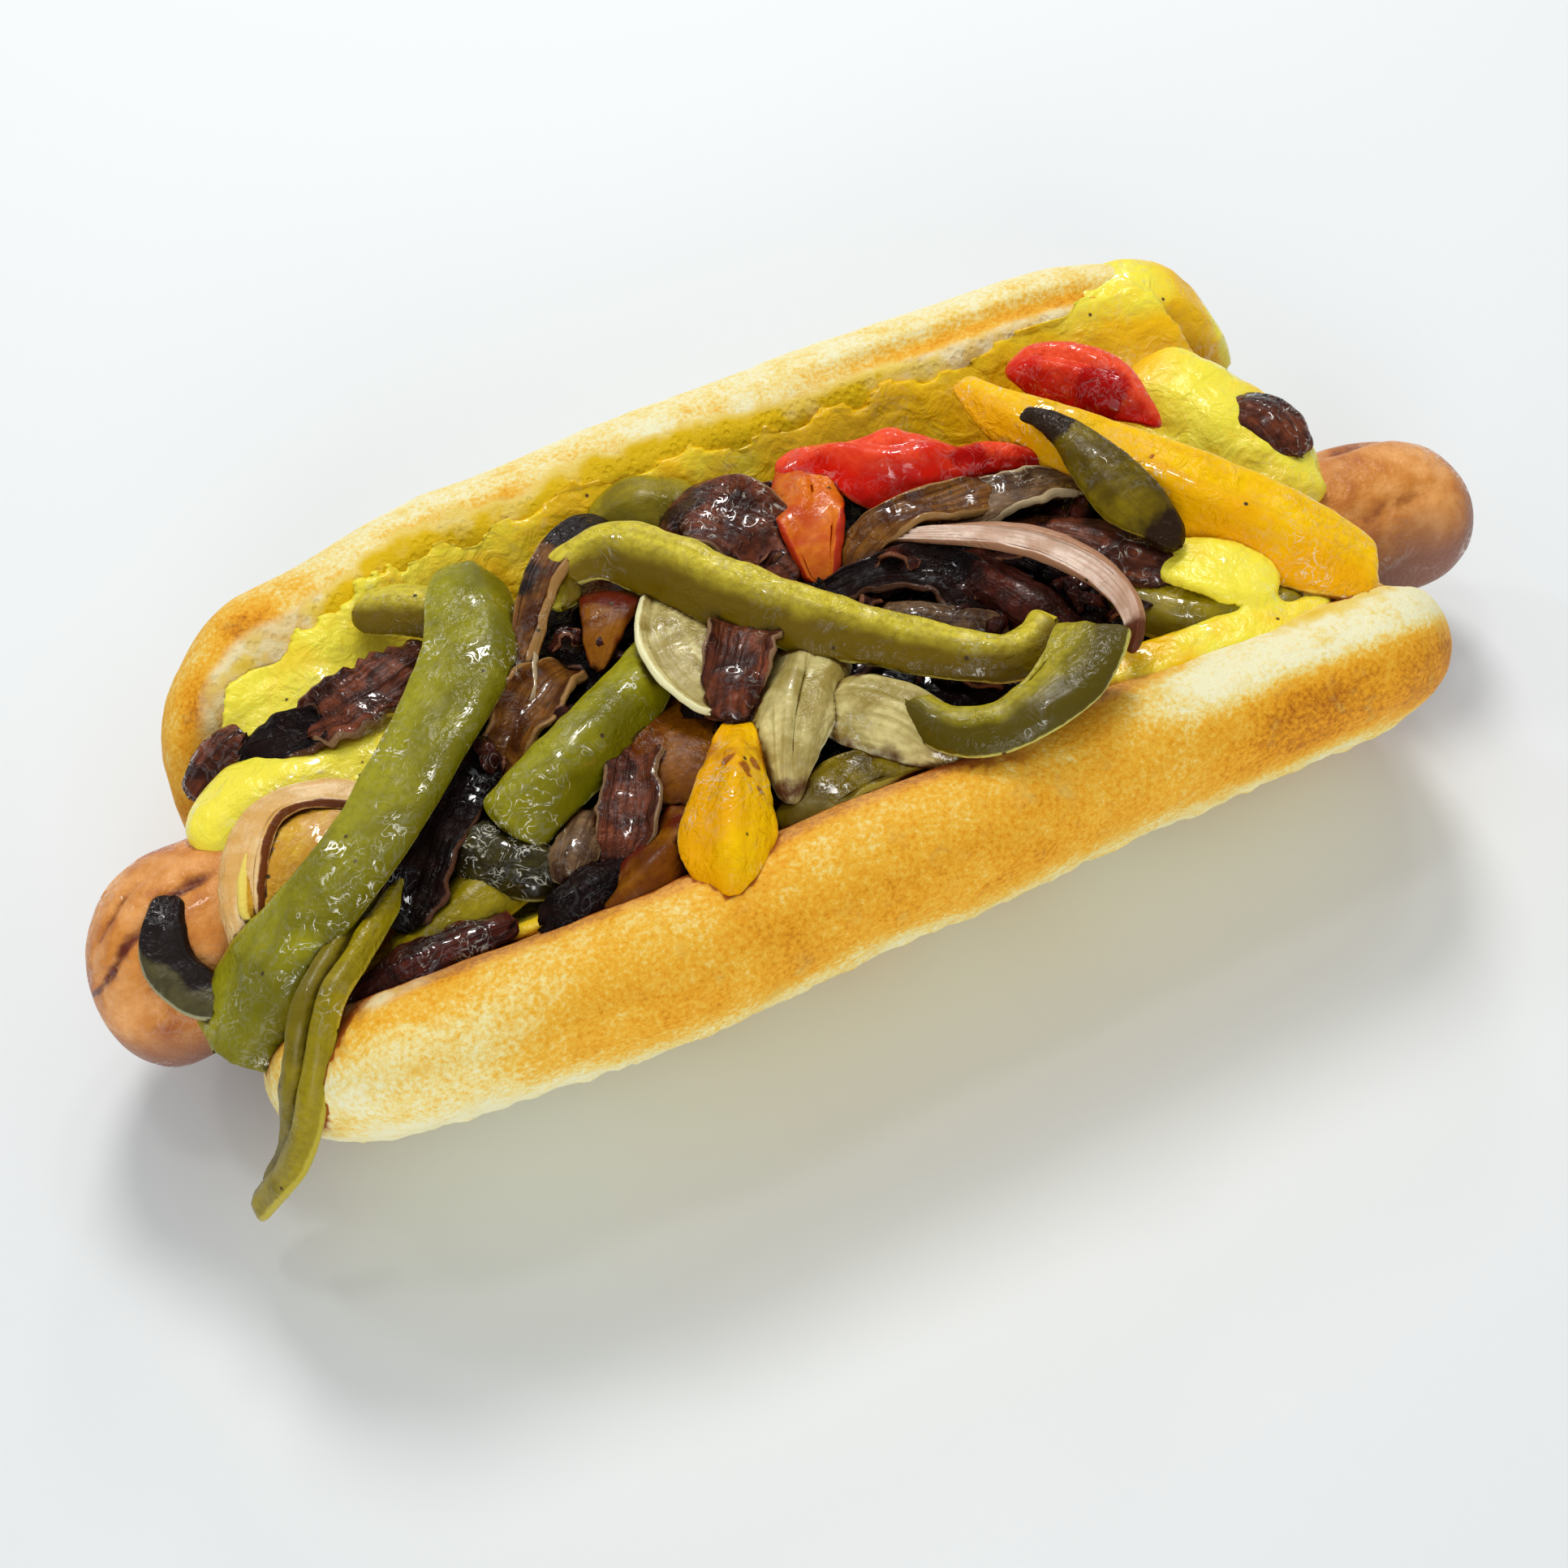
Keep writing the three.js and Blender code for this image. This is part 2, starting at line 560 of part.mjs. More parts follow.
// Mustard lines the cut faces and pools beside the sausage.
// Rows: x, top on the far face, top on the near face, pool by the far face, pool by the near face.
const MUSTARD = [
  [-70, 26, 15, 24, 12],
  [-65, 30, 24, 29, 15],
  [-52, 31.5, 31, 31, 22],
  [-40, 32, 32, 27, 27],
  [-10, 32.5, 32.5, 22, 24],
  [20, 33, 32.5, 22, 24],
  [42, 34, 32.5, 27, 29],
  [55, 36, 33.5, 32, 31],
  [64, 36.5, 33, 31, 30],
  [68.5, 30, 27, 25, 24],
];
const MUSTARD_COAT = 3;
const CHANNEL_FLOOR = 6.6;
const CHANNEL_CORNER = 14;
function mustardLining() {
  const xs = stations(MUSTARD[0][0], MUSTARD[MUSTARD.length - 1][0], LINING_STATIONS);
  return loft(
    xs.map((x, i) => {
      const [farTop, nearTop, farPool, nearPool] = readAt(MUSTARD, x);
      const wave = Math.sin(i * 2.1) * 0.7;
      const far = readAt(FAR_HALF.rows, x);
      const near = readAt(NEAR_HALF.rows, x);
      const [middle] = readAt(SAUSAGE, x);
      const farSlope = Math.tan(far[2] * DEG);
      const nearSlope = Math.tan(near[2] * DEG);
      const farAt = (z, inset) => [x, far[0] - (far[1] - z) * farSlope - inset, z];
      const nearAt = (z, inset) => [x, near[0] + (near[1] - z) * nearSlope + inset, z];
      return [
        farAt(farTop + wave, 0.6),
        farAt(CHANNEL_CORNER, 0.6),
        [x, middle + 5, CHANNEL_FLOOR],
        [x, middle - 5, CHANNEL_FLOOR],
        nearAt(CHANNEL_CORNER, 0.6),
        nearAt(nearTop, 0.6),
        nearAt(nearTop, 2),
        nearAt(nearPool, 3),
        [x, middle - 5, nearPool - 2],
        [x, middle + 5, farPool - 0.5],
        farAt(farPool, MUSTARD_COAT + 1),
        farAt(farTop + wave, 2.2),
      ];
    }),
  );
}
const MUSTARD_TONGUE = {
  thick: 6.4, crown: 0.06, stations: 9,
  rows: [
    [-46, 4, 31.2, 10, 0], [-55, 4, 31.5, 13, 0], [-62, 2.5, 31.3, 14, 0], [-69, -0.5, 30.9, 13, 5],
    [-76, -3, 29.6, 9, 5],
  ],
};
const MUSTARD_MOUND = {
  thick: 5, crown: 0.12, stations: 8,
  rows: [
    [54, 18, 31.5, 11, 25], [58.5, 13, 32, 13, 20], [62.5, 6, 31.5, 14, 10], [65, -1, 30, 12, 5],
    [66, -9, 28, 8, 0],
  ],
};

const group = new THREE.Group();
group.name = "hot_dog";
const done = [];

// Small facets left by trimming are merged, then every corner goes to a hundredth of a millimetre.
function largest(solid, name, merge) {
  const snapped = solid.simplify(merge).warp((v) => {
    for (let k = 0; k < 3; k++) v[k] = Math.round(v[k] * 100) / 100;
  });
  const bodies = snapped.simplify(CRUST_MERGE).decompose().sort((a, b) => b.volume() - a.volume());
  if (!bodies.length) throw new Error(name + " has nothing left");
  return bodies[0];
}

function addNode(name, solid, colour, material) {
  const kept = largest(solid, name, name === "bun" ? CRUST_MERGE : FACET_MERGE);
  const m = kept.getMesh();
  const g = new THREE.BufferGeometry();
  g.setAttribute("position", new THREE.BufferAttribute(new Float32Array(m.vertProperties), 3));
  g.setIndex(new THREE.BufferAttribute(new Uint32Array(m.triVerts), 1));
  g.computeVertexNormals();
  const look = new THREE.MeshStandardMaterial({ color: colour, roughness: 0.6, ...material });
  const mesh = new THREE.Mesh(g, look);
  mesh.name = name;
  group.add(mesh);
  return kept;
}

const bunGrown = bunSolid(GAP).add(bunSolid(0));
const sausageGrown = sausageSolid(GAP).add(sausageSolid(0));
addNode("bun", bunSolid(0), 0xe0b060, { roughness: 0.85 });
addNode("sausage", sausageSolid(0).subtract(bunGrown), 0xb8693a, { roughness: 0.45 });

let above = Manifold.union([bunGrown, sausageGrown]);
STRIPS.forEach((strip) => {
  const bands = strip.extra ? [strip, strip.extra] : [strip];
  const make = (grow) => Manifold.union(bands.map((band) => stripSolid(band, grow)));
  addNode(strip.name, make(0).subtract(above), strip.colour);
  above = above.add(make(GAP)).add(make(0));
});

const mustardWhole = Manifold.union([
  mustardLining(),
  stripSolid(MUSTARD_TONGUE, 0),
  stripSolid(MUSTARD_MOUND, 0),
]);
addNode("onion_heap", heapSolid(0).subtract(above), DARK);
addNode("mustard", mustardWhole.subtract(above).subtract(heapSolid(GAP)), 0xe6c619, { roughness: 0.35 });

export default group;
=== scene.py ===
"""A hot dog in an opened bun, with mustard, fried peppers and charred onion.

Tables hold millimetres, and every mesh is made in metres at the same place.
+X runs along the bun, +Y is its far half and +Z is up.
"""
import math
import random
from collections import namedtuple

import bmesh
import bpy
from mathutils import Matrix, Vector, noise
from mathutils.bvhtree import BVHTree


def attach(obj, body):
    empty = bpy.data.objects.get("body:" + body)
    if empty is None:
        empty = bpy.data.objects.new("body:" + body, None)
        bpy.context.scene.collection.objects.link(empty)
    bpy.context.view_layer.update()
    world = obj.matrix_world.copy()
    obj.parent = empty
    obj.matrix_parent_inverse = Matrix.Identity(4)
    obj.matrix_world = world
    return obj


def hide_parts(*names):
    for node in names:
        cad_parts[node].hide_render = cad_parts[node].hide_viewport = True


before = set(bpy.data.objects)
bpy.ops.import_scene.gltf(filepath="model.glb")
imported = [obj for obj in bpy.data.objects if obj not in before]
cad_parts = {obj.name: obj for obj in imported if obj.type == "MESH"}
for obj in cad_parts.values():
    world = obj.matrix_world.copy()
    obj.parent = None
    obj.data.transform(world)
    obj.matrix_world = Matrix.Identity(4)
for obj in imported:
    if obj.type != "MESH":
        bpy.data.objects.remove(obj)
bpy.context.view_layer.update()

MM = 0.001
UP = Vector((0, 0, 1))


# Numbers and curves

def clamp(value, low=0.0, high=1.0):
    return max(low, min(high, value))


def ease(low, high, value):
    """0 at low, 1 at high, with a soft start and stop."""
    t = clamp((value - low) / (high - low))
    return t * t * (3 - 2 * t)


def blend(a, b, t):
    return a + (b - a) * t


def lumps(point, size, seed=0.0):
    """Smooth noise from about -1 to 1, with bumps of the given size."""
    return noise.noise(Vector(point) / size + Vector((seed, 1.7 * seed, -2.3 * seed)))


def uneven(point, waves):
    """The sum at a point of several waves, each a row (height, size, seed)."""
    return sum(height * lumps(point, size, seed) for height, size, seed in waves)


def along(rows, t):
    """A smooth curve through rows of numbers, for t from 0 to 1."""
    last = len(rows) - 1
    s = clamp(t) * last
    i = min(int(s), last - 1)
    f = s - i
    before, a, b, after = rows[max(i - 1, 0)], rows[i], rows[i + 1], rows[min(i + 2, last)]
    weights = (2 * f**3 - 3 * f**2 + 1, f**3 - 2 * f**2 + f, 3 * f**2 - 2 * f**3, f**3 - f**2)
    return [
        weights[0] * p + weights[1] * (q - o) / 2 + weights[2] * q + weights[3] * (r - p) / 2
        for o, p, q, r in zip(before, a, b, after)
    ]


def read_at(rows, x):
    """Eased reading of a table of rows (x, values...) at x."""
    if x <= rows[0][0]:
        return rows[0][1:]
    for a, b in zip(rows, rows[1:]):
        if x < b[0]:
            t = ease(a[0], b[0], x)
            return [blend(p, q, t) for p, q in zip(a[1:], b[1:])]
    return rows[-1][1:]


# Meshes

PIECES = []
WELD = 0.004 * MM
SKIN_SOFTENING = 0.5


def add_object(name, data):
    made = bpy.data.objects.new(name, data)
    bpy.context.scene.collection.objects.link(made)
    return made


def to_mesh(bm, name):
    """The mesh of a bmesh, which is used up."""
    mesh = bpy.data.meshes.new(name)
    bm.to_mesh(mesh)
    bm.free()
    return mesh


def lay_grid(bm, columns, rows, place):
    """Lays a grid of faces on a form and welds where it meets itself.

    place(u, v) gives, for u and v from 0 to 1, a point in millimetres, its lay (millimetres
    along, -1 to 1 across, side) and how charred it is.
    """
    lay = bm.verts.layers.float_vector.get("lay") or bm.verts.layers.float_vector.new("lay")
    char = bm.verts.layers.float.get("char") or bm.verts.layers.float.new("char")
    made = bmesh.ops.create_grid(bm, x_segments=columns, y_segments=rows, size=0.5)["verts"]
    low = min(v.co.x for v in made)
    span = max(v.co.x for v in made) - low
    for vert in made:
        point, where, burnt = place((vert.co.x - low) / span, (vert.co.y - low) / span)
        vert.co = Vector(point) * MM
        vert[lay] = where
        vert[char] = burnt
    bmesh.ops.remove_doubles(bm, verts=made, dist=WELD)


def lay_form(bm, columns, rows, form):
    """Lays the grid of a form that has no fibres and no char."""
    lay_grid(bm, columns, rows, lambda u, v: (form(u, v), (0, 0, 0), 0.0))


def show(bm, name, finish, *nodes):
    """Turns a bmesh into a piece of the object that stands for the named nodes."""
    bmesh.ops.recalc_face_normals(bm, faces=bm.faces)
    mesh = to_mesh(bm, name)
    mesh.shade_smooth()
    mesh.materials.append(finish)
    made = add_object(name, mesh)
    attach(made, "root")
    if nodes:
        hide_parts(*nodes)
    PIECES.append(made)
    return made


def fuse(bm, name, voxel, rounds):
    """One skin round everything in a bmesh, with its seams softened. Returns a new bmesh."""
    bmesh.ops.recalc_face_normals(bm, faces=bm.faces)
    rough = add_object(name, to_mesh(bm, name))
    remesh = rough.modifiers.new("skin", "REMESH")
    remesh.mode = "VOXEL"
    remesh.voxel_size = voxel * MM
    remesh.adaptivity = 0
    smooth = rough.modifiers.new("soften", "SMOOTH")
    smooth.factor = SKIN_SOFTENING
    smooth.iterations = rounds
    graph = bpy.context.evaluated_depsgraph_get()
    made = bpy.data.meshes.new_from_object(rough.evaluated_get(graph))
    bpy.data.objects.remove(rough)
    fused = bmesh.new()
    fused.from_mesh(made)
    bpy.data.meshes.remove(made)
    return fused


def sculpt(bm, move):
    """Moves each vertex to move(point, normal), both in millimetres."""
    bm.normal_update()
    moved = [move(v.co / MM, v.normal) for v in bm.verts]
    for vert, point in zip(bm.verts, moved):
        vert.co = point * MM


def mark(bm, name, rule):
    """Keeps rule(point in millimetres) of each vertex under a name that the finishes read."""
    layer = bm.verts.layers.float.new(name)
    for vert in bm.verts:
        vert[layer] = rule(vert.co / MM)


# Finishes

WET_COAT = {"Coat_Roughness": 0.1, "Coat_IOR": 1.75}
GLOW_REACH = {"flesh": 2.2 * MM, "sauce": 2 * MM}
SPECK_COLOUR = (0.06, 0.035, 0.008)
# The colour of painted highlights.
PAINTED_GLINT_COLOUR = (0.88, 0.84, 0.66)


class Nodes:
    """Adds nodes to one tree, with each input given as a value or as another node's output."""

    def __init__(self, tree):
        self.tree = tree

    def feed(self, socket, value):
        if isinstance(value, bpy.types.NodeSocket):
            self.tree.links.new(value, socket)
        elif isinstance(value, tuple) and socket.type == "RGBA":
            socket.default_value = (*value[:3], 1)
        else:
            socket.default_value = value

    def feed_all(self, node, inputs):
        for name, value in inputs.items():
            self.feed(node.inputs[name.replace("_", " ")], value)

    def add(self, kind, settings=None, **inputs):
        made = self.tree.nodes.new("ShaderNode" + kind)
        for name, value in (settings or {}).items():
            setattr(made, name, value)
        self.feed_all(made, inputs)
        return made

    def place(self, group, **inputs):
        """Places a shader group and gives its outputs."""
        made = self.add("Group", {"node_tree": group})
        self.feed_all(made, inputs)
        return made.outputs

    def math(self, operation, *values):
        made = self.add("Math", {"operation": operation})
        for socket, value in zip(made.inputs, values):
            self.feed(socket, value)
        return made.outputs[0]

    def waver(self, level, grain, amount):
        """A level raised and lowered by a grain, by up to half the amount each way."""
        return self.math("MULTIPLY_ADD", self.math("SUBTRACT", grain, 0.5), amount, level)

    def mix(self, share, a, b):
        made = self.add("Mix", {"data_type": "RGBA"})
        for index, value in ((0, share), (6, a), (7, b)):
            self.feed(made.inputs[index], value)
        return made.outputs[2]

    def step(self, value, low, high, bottom=0.0, top=1.0):
        """Runs softly from bottom to top while a value runs from low to high."""
        made = self.add("MapRange", {"interpolation_type": "SMOOTHSTEP"}, Value=value)
        for name, number in (("From Min", low), ("From Max", high), ("To Min", bottom), ("To Max", top)):
            self.feed(made.inputs[name], number)
        return made.outputs[0]

    def millimetres(self):
        """Object coordinates in millimetres."""
        place = self.add("TexCoord").outputs["Object"]
        return self.add("VectorMath", {"operation": "SCALE"}, Vector=place, Scale=1 / MM).outputs[0]

    def grain(self, where, size, detail=2.0, distortion=0.0, rough=0.5):
        """Noise from 0 to 1 with grains of about the given size, a number or an output."""
        scale = 1.0 / size if isinstance(size, (int, float)) else self.math("DIVIDE", 1.0, size)
        made = self.add(
            "TexNoise", Vector=where, Scale=scale, Detail=detail, Roughness=rough, Distortion=distortion
        )
        return made.outputs[0]

    def cells(self, where, size):
        """Outputs: Distance to the nearest of many scattered points, and Color, random for each point."""
        return self.add("TexVoronoi", Vector=where, Scale=1.0 / size).outputs

    def specks(self, where, size, share, radius, channel=0):
        """1 on round specks, which a share of the scattered points have, and 0 elsewhere."""
        points = self.cells(where, size)
        pick = self.add("SeparateColor", Color=points["Color"]).outputs[channel]
        chosen = self.math("LESS_THAN", pick, share)
        return self.math("MULTIPLY", self.step(points["Distance"], radius, radius / 2), chosen)

    def attribute(self, name, output="Fac"):
        return self.add("Attribute", {"attribute_name": name}).outputs[output]

    def ramp(self, share, *stops):
        made = self.add("ValToRGB", Fac=share)
        ramp = made.color_ramp
        while len(ramp.elements) < len(stops):
            ramp.elements.new(0.5)
        for element, (position, colour) in zip(ramp.elements, stops):
            element.position = position
            element.color = (*colour, 1)
        return made.outputs[0]


def new_group(name, sockets_in, sockets_out):
    """An empty shader group with named sockets. Returns its builder, inputs and output node."""
    tree = bpy.data.node_groups.new(name, "ShaderNodeTree")
    kinds = {"value": "NodeSocketFloat", "colour": "NodeSocketColor"}
    for way, sockets in (("INPUT", sockets_in), ("OUTPUT", sockets_out)):
        for label, kind in sockets.items():
            tree.interface.new_socket(label, in_out=way, socket_type=kinds[kind])
    entry = tree.nodes.new("NodeGroupInput")
    leave = tree.nodes.new("NodeGroupOutput")
    return Nodes(tree), entry.outputs, leave.inputs


def new_finish(name, **constants):
    """A material with one Principled shader whose plain values are set on its own sockets."""
    material = bpy.data.materials.new(name)
    material.use_nodes = True
    material.node_tree.nodes.clear()
    made = Nodes(material.node_tree)
    shader = made.add("BsdfPrincipled", **constants)
    out = made.add("OutputMaterial")
    material.node_tree.links.new(shader.outputs[0], out.inputs[0])
    return material, made, shader


def raise_surface(made, shader, height, depth):
    bump = made.add("Bump", Height=height, Distance=depth * MM, Strength=1.0)
    made.feed(shader.inputs["Normal"], bump.outputs[0])


def cooked_flesh_group():
    """Fried flesh: blotches, fibres along the strip, pale cut edges, char, specks, painted shade along one
    long edge, and painted shade in the gaps, coloured partly as juice.
    """
    made, given, out = new_group(
        "cooked flesh",
        {
            "Flesh": "colour", "Shade": "colour", "Edge": "colour", "Char": "colour", "JuiceAndShade": "colour",
            "Edge Width": "value", "Fibre": "value", "Charring": "value", "Specks": "value",
            "Blotch Size": "value", "PaintedShadeLean": "value",
        },
        {"Color": "colour", "Roughness": "value", "Height": "value"},
    )
    where = made.millimetres()
    run, side, face = made.add("SeparateXYZ", Vector=made.attribute("lay", "Vector")).outputs
    fine = made.grain(where, 1.1, 4)

    blotch = made.grain(where, given["Blotch Size"], 3, 0.6)
    # Painted shade: the lean pulls the shade colour towards one long edge, the side away from the light,
    # while the blotches vary it at random.
    evenness = made.math("MULTIPLY_ADD", made.math("ABSOLUTE", given["PaintedShadeLean"]), -0.6, 1.0)
    painted_side_shade = made.waver(0.5, blotch, evenness)
    painted_side_shade = made.math("MULTIPLY_ADD", made.math("MULTIPLY", side, given["PaintedShadeLean"]), 0.6, painted_side_shade)
    colour = made.mix(made.step(painted_side_shade, 0.3, 0.7), given["Flesh"], given["Shade"])
    mottle = made.step(made.grain(where, 0.8, 3), 0.4, 0.7, 0.0, 0.35)
    colour = made.mix(mottle, colour, given["Shade"])

    threads = made.add(
        "CombineXYZ", X=made.math("MULTIPLY", run, 0.1), Y=made.math("MULTIPLY", side, 6.0), Z=face
    ).outputs[0]
    fibre = made.math("MULTIPLY", made.step(made.grain(threads, 1.0, 3), 0.42, 0.66), given["Fibre"])
    colour = made.mix(fibre, colour, made.mix(0.7, colour, given["Shade"]))

    wander = made.waver(made.math("ABSOLUTE", side), fine, 0.1)
    edge_from = made.math("SUBTRACT", 1.0, given["Edge Width"])
    edge = made.step(made.math("SUBTRACT", wander, edge_from), -0.03, 0.04)
    colour = made.mix(edge, colour, given["Edge"])

    burnt = made.math("ADD", made.attribute("char"), given["Charring"])
    char = made.step(made.waver(burnt, made.grain(where, 2.6, 5), 0.9), 0.36, 0.72)
    colour = made.mix(char, colour, given["Char"])
    colour = made.mix(made.specks(where, 1.9, given["Specks"], 0.2), colour, SPECK_COLOUR)
    # Painted shade where other pieces hem this one in, in a colour that is partly the juice gathered there.
    gap_shade_amount = made.math("MULTIPLY_ADD", made.grain(where, 2.0, 3), 0.5, made.attribute("gap_shade"))
    colour = made.mix(made.step(gap_shade_amount, 0.46, 0.86), colour, given["JuiceAndShade"])
    made.feed(out["Color"], colour)

    wet = made.step(made.grain(where, 9, 2), 0.42, 0.58)
    dry = made.step(fine, 0.3, 0.7, 0.28, 0.38)
    made.feed(out["Roughness"], made.math("MULTIPLY_ADD", wet, -0.14, dry))
    ruffle = made.math("MULTIPLY", made.grain(where, 1.6, 3, 1.4), made.math("MULTIPLY_ADD", wet, 1.6, 0.5))
    height = made.math("MULTIPLY_ADD", made.grain(where, 3.2, 2), 1.3, ruffle)
    made.feed(out["Height"], made.math("MULTIPLY_ADD", fibre, 0.3, height))
    return made.tree


def wet_glints_group():
    """Thin curly lines of oil in wet patches: gloss for a coat's weight, and painted highlights for a
    colour.
    """
    made, given, out = new_group(
        "wet glints", {"Wetness": "value", "Curl Size": "value"}, {"Gloss": "value", "PaintedGlint": "value"}
    )
    where = made.millimetres()
    patch = made.math("ADD", made.grain(where, 8, 2), given["Wetness"])
    curls = made.grain(where, given["Curl Size"], 2, 1.8)
    off_line = made.math("ABSOLUTE", made.math("SUBTRACT", curls, 0.5))
    dots = made.step(made.grain(where, 0.9, 2), 0.66, 0.72)
    shiny = made.math("MAXIMUM", made.step(off_line, 0.05, 0.018), dots)
    made.feed(out["Gloss"], made.math("MULTIPLY", shiny, made.step(patch, 0.97, 1.1)))
    # Painted highlights: thin pale curls where the patches are wettest.
    broken = made.step(made.grain(where, 1.7, 2), 0.46, 0.56)
    wettest = made.math("MULTIPLY", made.step(patch, 1.08, 1.18), broken)
    made.feed(out["PaintedGlint"], made.math("MULTIPLY", made.step(off_line, 0.022, 0.008), wettest))
    return made.tree


COOKED_FLESH = cooked_flesh_group()
WET_GLINTS = wet_glints_group()


def glaze(made, shader, colour, wetness, curl=2.6, painted_glint=0.5):
    """Adds the wet glints as a thin coat, with painted highlights, thin pale curls, in the colour where it
    is wettest.
    """
    glints = made.place(WET_GLINTS, Wetness=wetness, Curl_Size=curl)
    made.feed(shader.inputs["Coat Weight"], glints["Gloss"])
    # Painted highlights mixed into the base colour.
    pale = made.math("MULTIPLY", glints["PaintedGlint"], painted_glint)
    made.feed(shader.inputs["Base Color"], made.mix(pale, colour, PAINTED_GLINT_COLOUR))


def flesh(name, body, shade, edge, char=(0.012, 0.006, 0.005), juice_and_shade=(0.05, 0.012, 0.002), width=0.12,
          fibre=0.3, charring=0.0, specks=0.06, blotch=9.0, lean=0.0, relief=0.16, softness=0.0,
          wetness=0.45, painted_glint=0.5, ior=1.3):
    """A finish of cooked flesh.

    body, shade and edge are its main colour, its blotches and painted shade, and its cut edges. width is
    the share of its half width that the edges take, and lean moves the shade towards one long edge as
    painted shade on the side away from the light. juice_and_shade is the colour of painted shade
    between pieces, partly juice.
    """
    material, made, shader = new_finish(
        name, IOR=ior, Subsurface_Weight=softness, Subsurface_Scale=GLOW_REACH["flesh"], **WET_COAT
    )
    look = made.place(
        COOKED_FLESH, Flesh=body, Shade=shade, Edge=edge, Char=char, JuiceAndShade=juice_and_shade, Edge_Width=width,
        Fibre=fibre, Charring=charring, Specks=specks, Blotch_Size=blotch, PaintedShadeLean=lean,
    )
    made.feed(shader.inputs["Roughness"], look["Roughness"])
    raise_surface(made, shader, look["Height"], relief)
    glaze(made, shader, look["Color"], wetness, painted_glint=painted_glint)
    return material


# A finish whose lean is not 0 paints shade on one long edge of its strips, the side away from the light.
GREEN = flesh(
    "green pepper", (0.35, 0.32, 0.006), (0.16, 0.142, 0.001), (0.64, 0.58, 0.14),
    juice_and_shade=(0.06, 0.045, 0.001), width=0.07, specks=0.08, blotch=7.0, lean=0.36, wetness=0.56, painted_glint=0.8,
)
GREEN_SHADED = flesh(
    "green pepper, shaded", (0.70, 0.57, 0.04), (0.15, 0.092, 0.0), (0.72, 0.62, 0.14),
    juice_and_shade=(0.045, 0.025, 0.001), width=0.08, specks=0.08, blotch=6.0, lean=-1.1, wetness=0.46,
)
HOOK_GREEN = flesh(
    "hooked green pepper", (0.42, 0.34, 0.01), (0.09, 0.064, 0.0), (0.58, 0.52, 0.12),
    juice_and_shade=(0.05, 0.03, 0.001), width=0.08, specks=0.1, blotch=5.0, lean=-1.0, wetness=0.42,
)
OLIVE = flesh(
    "olive pepper", (0.23, 0.16, 0.001), (0.08, 0.048, 0.0), (0.34, 0.25, 0.03),
    char=(0.022, 0.009, 0.002), width=0.07, specks=0.12, blotch=5.0, painted_glint=0.1, ior=1.24,
)
OLIVE_LIGHT = flesh(
    "light olive pepper", (0.36, 0.27, 0.002), (0.17, 0.125, 0.002), (0.5, 0.4, 0.03),
    juice_and_shade=(0.07, 0.045, 0.001), specks=0.08, blotch=5.0, lean=-0.35,
)
YELLOW = flesh(
    "yellow pepper", (1.0, 0.60, 0.0), (0.88, 0.40, 0.0), (0.97, 0.66, 0.10), char=(0.40, 0.11, 0.002),
    juice_and_shade=(0.40, 0.13, 0.002), width=0.05, fibre=0.5, specks=0.08, lean=-0.5, relief=0.24, wetness=0.56,
    ior=1.2,
)
YELLOW_BROWNED = flesh(
    "yellow pepper, browned", (0.29, 0.10, 0.002), (0.10, 0.018, 0.001), (0.34, 0.09, 0.006),
    char=(0.11, 0.01, 0.002), width=0.05, charring=0.24, specks=0.3, blotch=4.5, wetness=0.36, ior=1.2,
)
RED = flesh(
    "red pepper", (0.97, 0.10, 0.03), (0.66, 0.008, 0.0), (0.86, 0.16, 0.04), char=(0.44, 0.002, 0.0),
    juice_and_shade=(0.20, 0.004, 0.001), width=0.05, fibre=0.1, specks=0.0, blotch=5.0, lean=-0.5, wetness=0.6,
    painted_glint=0.1, ior=1.2,
)
RED_INSIDE = flesh(
    "red pepper, inside", (0.86, 0.24, 0.006), (0.60, 0.07, 0.002), (0.6, 0.04, 0.004),
    char=(0.42, 0.02, 0.002), juice_and_shade=(0.30, 0.012, 0.002), specks=0.16, blotch=5.0,
)
PALE_ONION = flesh(
    "pale onion", (0.80, 0.69, 0.30), (0.35, 0.26, 0.06), (0.90, 0.84, 0.48), char=(0.10, 0.03, 0.008),
    juice_and_shade=(0.12, 0.05, 0.006), width=0.1, fibre=1.0, specks=0.05, blotch=4.5, softness=0.1, wetness=0.5,
)
RING_ONION = flesh(
    "ring onion", (1.0, 0.78, 0.64), (0.60, 0.36, 0.24), (0.44, 0.22, 0.12), char=(0.12, 0.03, 0.008),
    juice_and_shade=(0.16, 0.06, 0.03), width=0.16, fibre=1.0, specks=0.04, blotch=5.0, softness=0.1, wetness=0.35,
)
BROWNED_ONION = flesh(
    "browned onion", (0.26, 0.10, 0.012), (0.06, 0.014, 0.002), (0.33, 0.17, 0.05), fibre=0.9,
    charring=0.14, specks=0.3, blotch=4.0, relief=0.22, wetness=0.5, ior=1.22,
)
GREY_ONION = flesh(
    "grey onion", (0.26, 0.15, 0.07), (0.05, 0.02, 0.009), (0.48, 0.36, 0.20), fibre=1.0, charring=0.1,
    specks=0.1, blotch=4.0, relief=0.22, wetness=0.6, ior=1.22,
)
GLASSY_ONION = flesh(
    "glassy onion", (0.96, 0.70, 0.38), (0.74, 0.40, 0.10), (0.16, 0.04, 0.006),
    char=(0.18, 0.045, 0.008), juice_and_shade=(0.20, 0.08, 0.01), width=0.07, fibre=0.9, specks=0.02, blotch=5.0,
    softness=0.15,
)
HEART_ONION = flesh(
    "heart of onion", (0.80, 0.48, 0.04), (0.58, 0.26, 0.012), (0.86, 0.66, 0.12), width=0.2, fibre=0.8,
    blotch=3.5,
)
